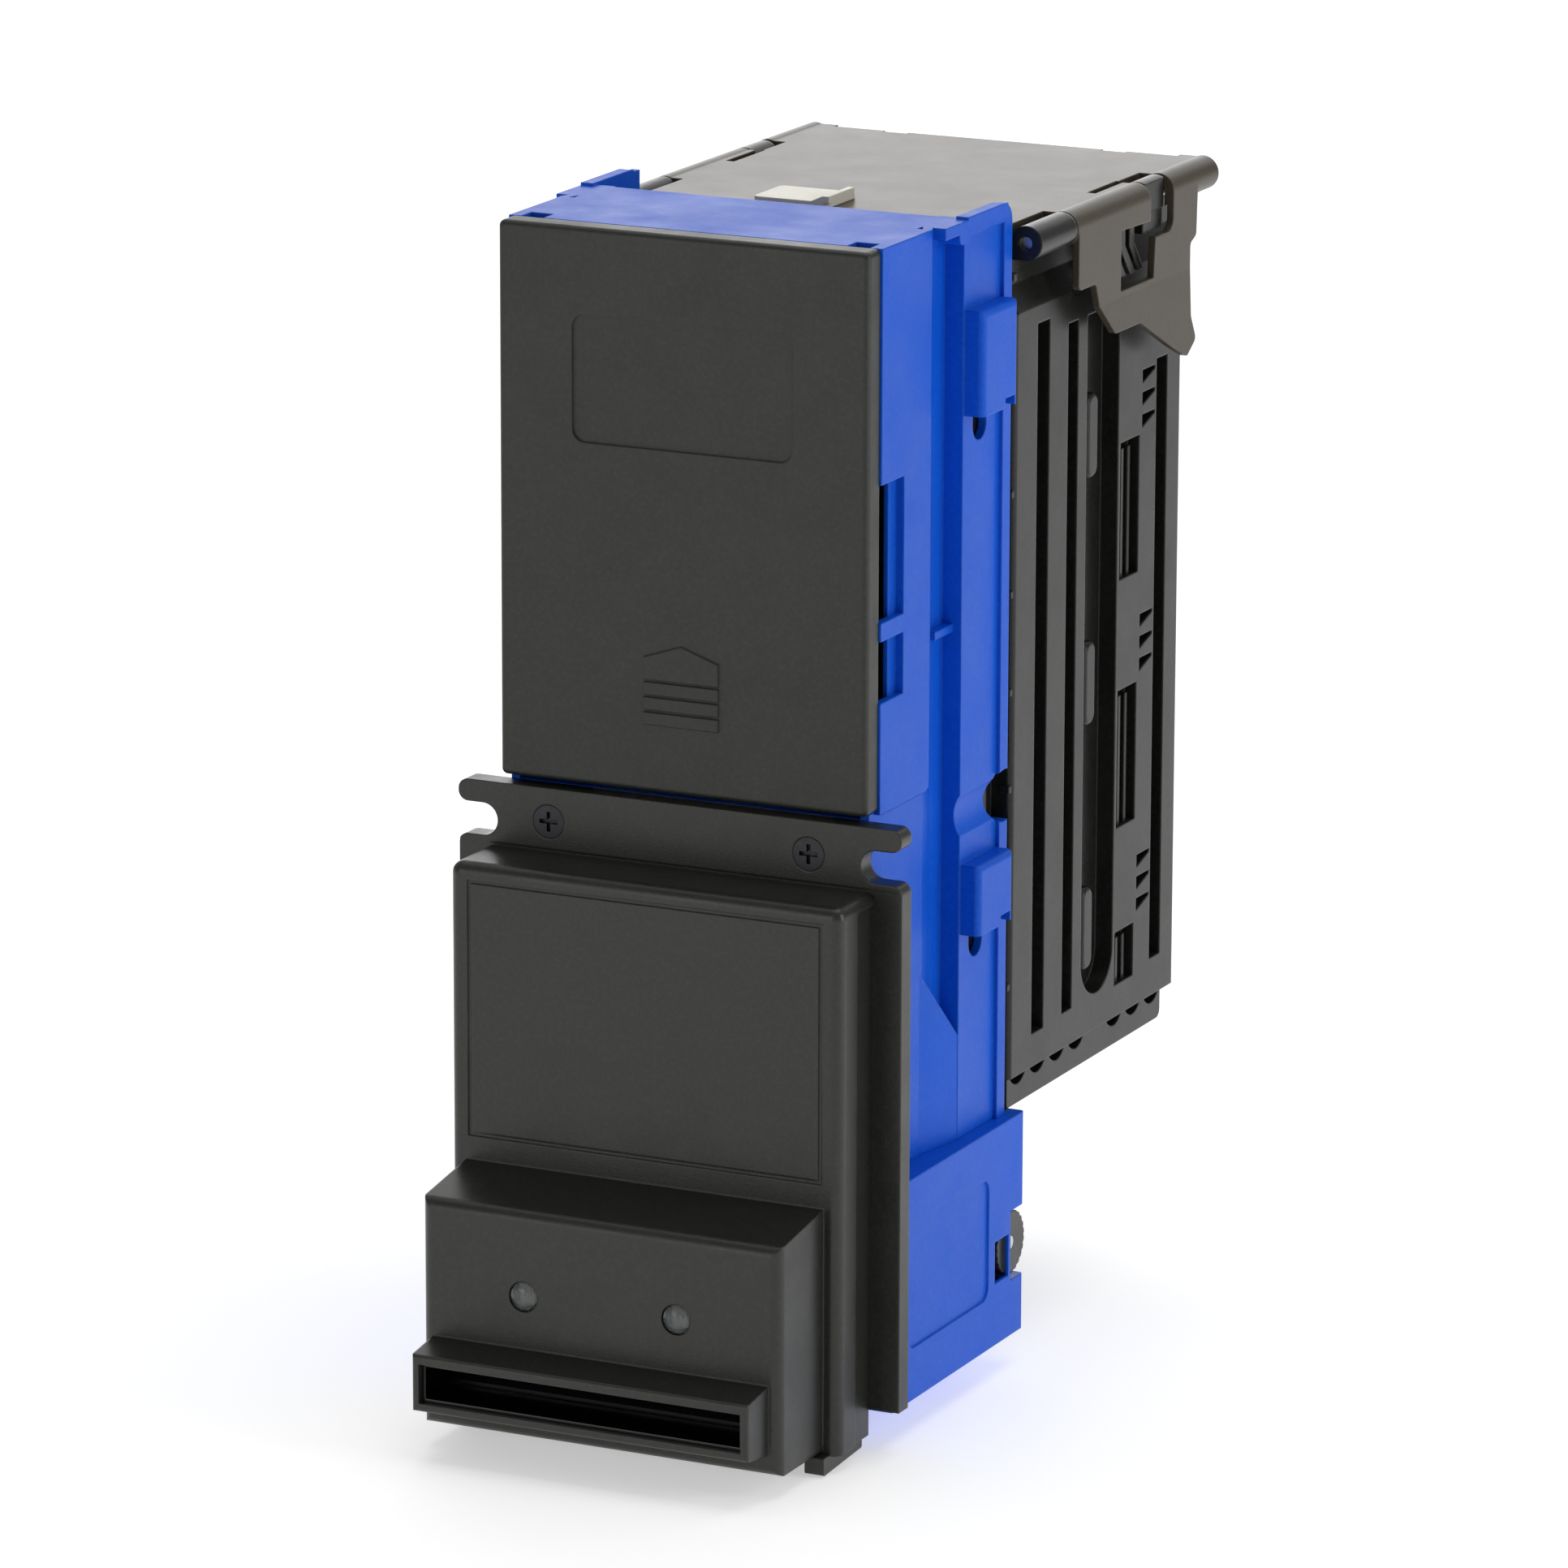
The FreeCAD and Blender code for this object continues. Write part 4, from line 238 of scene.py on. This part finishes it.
# One material for each material slot of the record.
mats = {
    "front_black": moulded_plastic("front_black", (0.0135, 0.0146, 0.0110), 0.35, 0.34, edge=0.0006,
                                   specular=0.48),
    "cover_black": moulded_plastic("cover_black", (0.0150, 0.0174, 0.0134), 0.42, 0.34, edge=0.0006,
                                   specular=0.42),
    "gloss_black": gloss_plastic("gloss_black", (0.0022, 0.0026, 0.0027), 0.14),
    "clear_lens": clear_plastic("clear_lens", (0.50, 0.53, 0.53)),
    "blue_housing": moulded_plastic("blue_housing", (0.0014, 0.084, 0.57), 0.42, 0.16,
                                    worn=(0.020, 0.16, 0.74), vary=0.14, edge=0.0006,
                                    specular=0.17),
    "box_black": moulded_plastic("box_black", (0.0085, 0.0089, 0.0076), 0.30, 0.16, edge=0.0006,
                                 specular=0.29, cloud=0.05),
    "lid_grey": moulded_plastic("lid_grey", (0.050, 0.040, 0.025), 0.36, 0.12, edge=0.0005,
                                specular=0.37, vary=0.10, cloud=0.020),
    "cream_tab": moulded_plastic("cream_tab", (0.66, 0.63, 0.54), 0.40, 0.08,
                                 worn=(0.80, 0.77, 0.68), vary=0.05),
    "guide_black": moulded_plastic("guide_black", (0.008, 0.008, 0.009), 0.40, 0.10, specular=0.20),
    "green_board": circuit_board("green_board"),
    "chip_black": moulded_plastic("chip_black", (0.014, 0.014, 0.015), 0.5, 0.3),
    "led_white": gloss_plastic("led_white", (0.24, 0.23, 0.18), 0.25),
    "steel": steel("steel", (0.56, 0.57, 0.58)),
    "spring_steel": steel("spring_steel", (0.48, 0.48, 0.49), 0.25, (1, 1, 1), 300),
    "screw_black": steel("screw_black", (0.045, 0.045, 0.05), 0.36, (1, 1, 1), 200),
    "roller_rubber": rubber("roller_rubber", (0.012, 0.012, 0.013)),
    "belt_rubber": rubber("belt_rubber", (0.014, 0.014, 0.016)),
    "gear_white": moulded_plastic("gear_white", (0.66, 0.65, 0.60), 0.36, 0.06,
                                  worn=(0.8, 0.79, 0.74), vary=0.04),
    "plate_grey": moulded_plastic("plate_grey", (0.13, 0.135, 0.14), 0.38, 0.10),
    "cap_silver": steel("cap_silver", (0.70, 0.70, 0.72), 0.26, (1, 1, 1), 150),
}
for part in frame["record"]["subparts"]:
    thing = nodes[part["node"]]
    thing.data.materials.clear()
    thing.data.materials.append(mats[part["material_slot"]])


# ---- Pieces that take the place of CAD nodes --------------------------------------------------
def new_piece(name, mesh_maker, slot, body, node):
    """Build a mesh piece that stands for a CAD node and moves with a body."""
    mesh = bpy.data.meshes.new(name)
    bm = bmesh.new()
    mesh_maker(bm)
    bmesh.ops.recalc_face_normals(bm, faces=bm.faces)
    bm.to_mesh(mesh)
    bm.free()
    piece = bpy.data.objects.new(name, mesh)
    scene.collection.objects.link(piece)
    mesh.materials.append(mats[slot])
    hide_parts(node)
    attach(piece, body)
    return piece


def loft(bm, rings):
    """Skin a list of rings of equal length and close both ends; a ring is a list of vertices."""
    for low, high in zip(rings, rings[1:]):
        count = len(low)
        for k in range(count):
            bm.faces.new((low[k], low[(k + 1) % count], high[(k + 1) % count], high[k]))
    bm.faces.new(rings[0])
    bm.faces.new(list(reversed(rings[-1])))


def faceted_lenses(bm):
    """A collar and barrel turned about Y, closed in front by a cut-glass crown of 12 sides."""
    lo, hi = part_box("led_lenses")
    collar = (hi.z - lo.z) / 2
    barrel = collar - 0.0009
    seat = hi.y - 0.0010
    sides = 12
    crown = ((0.0, 0.30), (0.00022, 0.62), (0.00075, 0.90), (0.0012, 1.0))
    for side in (-1, 1):
        centre = Vector((side * (hi.x - collar), 0, (lo.z + hi.z) / 2))
        # Each step is a depth, a radius and a turn in facets, so that the crown's facets alternate.
        steps = [(lo.y + deep, barrel * share, 0.5 * (k % 2)) for k, (deep, share) in enumerate(crown)]
        steps += [(seat, barrel, 0.5), (seat, collar, 0.5), (hi.y, collar, 0.5)]
        rings = []
        for y, r, shift in steps:
            ring = []
            for k in range(sides):
                angle = 2 * math.pi * (k + shift) / sides
                ring.append(bm.verts.new((centre.x + r * math.cos(angle), y,
                                          centre.z + r * math.sin(angle))))
            rings.append(ring)
        loft(bm, rings)


new_piece("lens_crowns", faceted_lenses, "clear_lens", "acceptor", "led_lenses")


def coil_springs(bm):
    """Two wound springs with closed end turns, between the plate and the rear wall."""
    lo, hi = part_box("pressure_springs")
    wire = 0.0007              # radius of the wire
    coil = (hi.x - lo.x) / 2 - wire
    turns = 9
    steps = 40                 # rings in a turn
    sides = 10
    flat = 0.085               # share of the turns that lies closed at each end
    ends = 2.2 * wire          # height of the closed turns at each end
    middle = (lo.x + hi.x) / 2
    length = hi.y - lo.y - 2 * wire
    for centre_z in (lo.z + coil + wire, hi.z - coil - wire):
        rings = []
        for k in range(turns * steps + 1):
            share = k / (turns * steps)
            climb = min(max((share - flat) / (1 - 2 * flat), 0.0), 1.0)
            along = ends * min(share / flat, 1.0) + (length - 2 * ends) * climb
            along += ends * min(max((share - 1 + flat) / flat, 0.0), 1.0)
            angle = 2 * math.pi * turns * share
            out = Vector((math.cos(angle), 0, math.sin(angle)))
            at = Vector((middle, lo.y + wire + along, centre_z)) + out * coil
            ring = []
            for j in range(sides):
                turn = 2 * math.pi * j / sides
                ring.append(bm.verts.new(at + out * (wire * math.cos(turn))
                                         + Vector((0, wire * math.sin(turn), 0))))
            rings.append(ring)
        loft(bm, rings)


# The springs ride with the cash box and stay seated on its rear wall.
springs = new_piece("coil_springs", coil_springs, "spring_steel", "cash_box", "pressure_springs")
for face in springs.data.polygons:
    face.use_smooth = True
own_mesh(springs)


# ---- Floor, light and camera ----------------------------------------------------------------
lo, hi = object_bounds()
middle = (lo + hi) / 2
reach = 6.0                # half the floor's side
floor_gap = 0.0005         # between the part and the floor
floor_mesh = bpy.data.meshes.new("floor")
bm = bmesh.new()
for x, y in ((-reach, -reach), (reach, -reach), (reach, reach), (-reach, reach)):
    bm.verts.new((x, y, lo.z - floor_gap))
bm.faces.new(bm.verts)
bm.to_mesh(floor_mesh)
bm.free()
floor = bpy.data.objects.new("floor", floor_mesh)
scene.collection.objects.link(floor)
pale = Tree("floor_paper")
pale.put("Base Color", pale.mix(pale.noise(3, 3), (0.86, 0.86, 0.86), (0.90, 0.90, 0.90)))
pale.put("Roughness", 0.9)
pale.put("Specular IOR Level", 0.1)
pale.put("Emission Color", (1.0, 1.0, 1.0))
pale.put("Emission Strength", 0.45)
floor_mesh.materials.append(pale.mat)

world = bpy.data.worlds.new("studio")
scene.world = world
world.use_nodes = True
world.node_tree.nodes["Background"].inputs["Color"].default_value = (1.0, 1.0, 1.0, 1)
world.node_tree.nodes["Background"].inputs["Strength"].default_value = 0.30
scene.view_settings.view_transform = "Standard"


def area_light(name, place, width, height, power):
    """A soft rectangular lamp that faces the middle of the part."""
    light = bpy.data.lights.new(name, "AREA")
    light.shape = "RECTANGLE"
    light.size, light.size_y = width, height
    light.energy = power
    holder = bpy.data.objects.new(name, light)
    holder.location = place
    aim = middle - Vector(place)
    holder.rotation_mode = "QUATERNION"
    holder.rotation_quaternion = aim.to_track_quat("-Z", "Y")
    scene.collection.objects.link(holder)


area_light("overhead_soft", (0.0, 0.35, 1.2), 1.2, 1.2, 7)
area_light("backdrop_soft", (-1.1, 2.4, 0.5), 3.0, 1.6, 30)
area_light("right_soft", (1.5, 0.2, 0.40), 0.6, 1.2, 8)
area_light("front_soft", (-0.5, -1.6, 0.35), 0.8, 0.8, 4)

cam_data = bpy.data.cameras.new("camera")
cam = bpy.data.objects.new("camera", cam_data)
scene.collection.objects.link(cam)
scene.camera = cam
cam_data.sensor_width = 36.0
cam_data.sensor_fit = "HORIZONTAL"
cam_data.lens = 202.67
cam_data.clip_start, cam_data.clip_end = 0.05, 50
slot_height = 0.1293       # the origin lies this far above the bezel's underside
flange = 0.0052            # and one flange thickness ahead of the flange's rear face
eye = Vector((0.831400, -1.677328 + flange, 0.615306 - slot_height))
azimuth, elevation, roll = map(math.radians, (25.7234, 14.2046, 0.1692))
back = Vector((math.sin(azimuth) * math.cos(elevation), -math.cos(azimuth) * math.cos(elevation),
               math.sin(elevation)))
right = Vector((math.cos(azimuth), math.sin(azimuth), 0))
up = back.cross(right)
rolled_right = right * math.cos(roll) + up * math.sin(roll)
rolled_up = up * math.cos(roll) - right * math.sin(roll)
cam.rotation_mode = "QUATERNION"
cam.rotation_quaternion = Matrix((rolled_right, rolled_up, back)).transposed().to_quaternion()
cam.location = eye
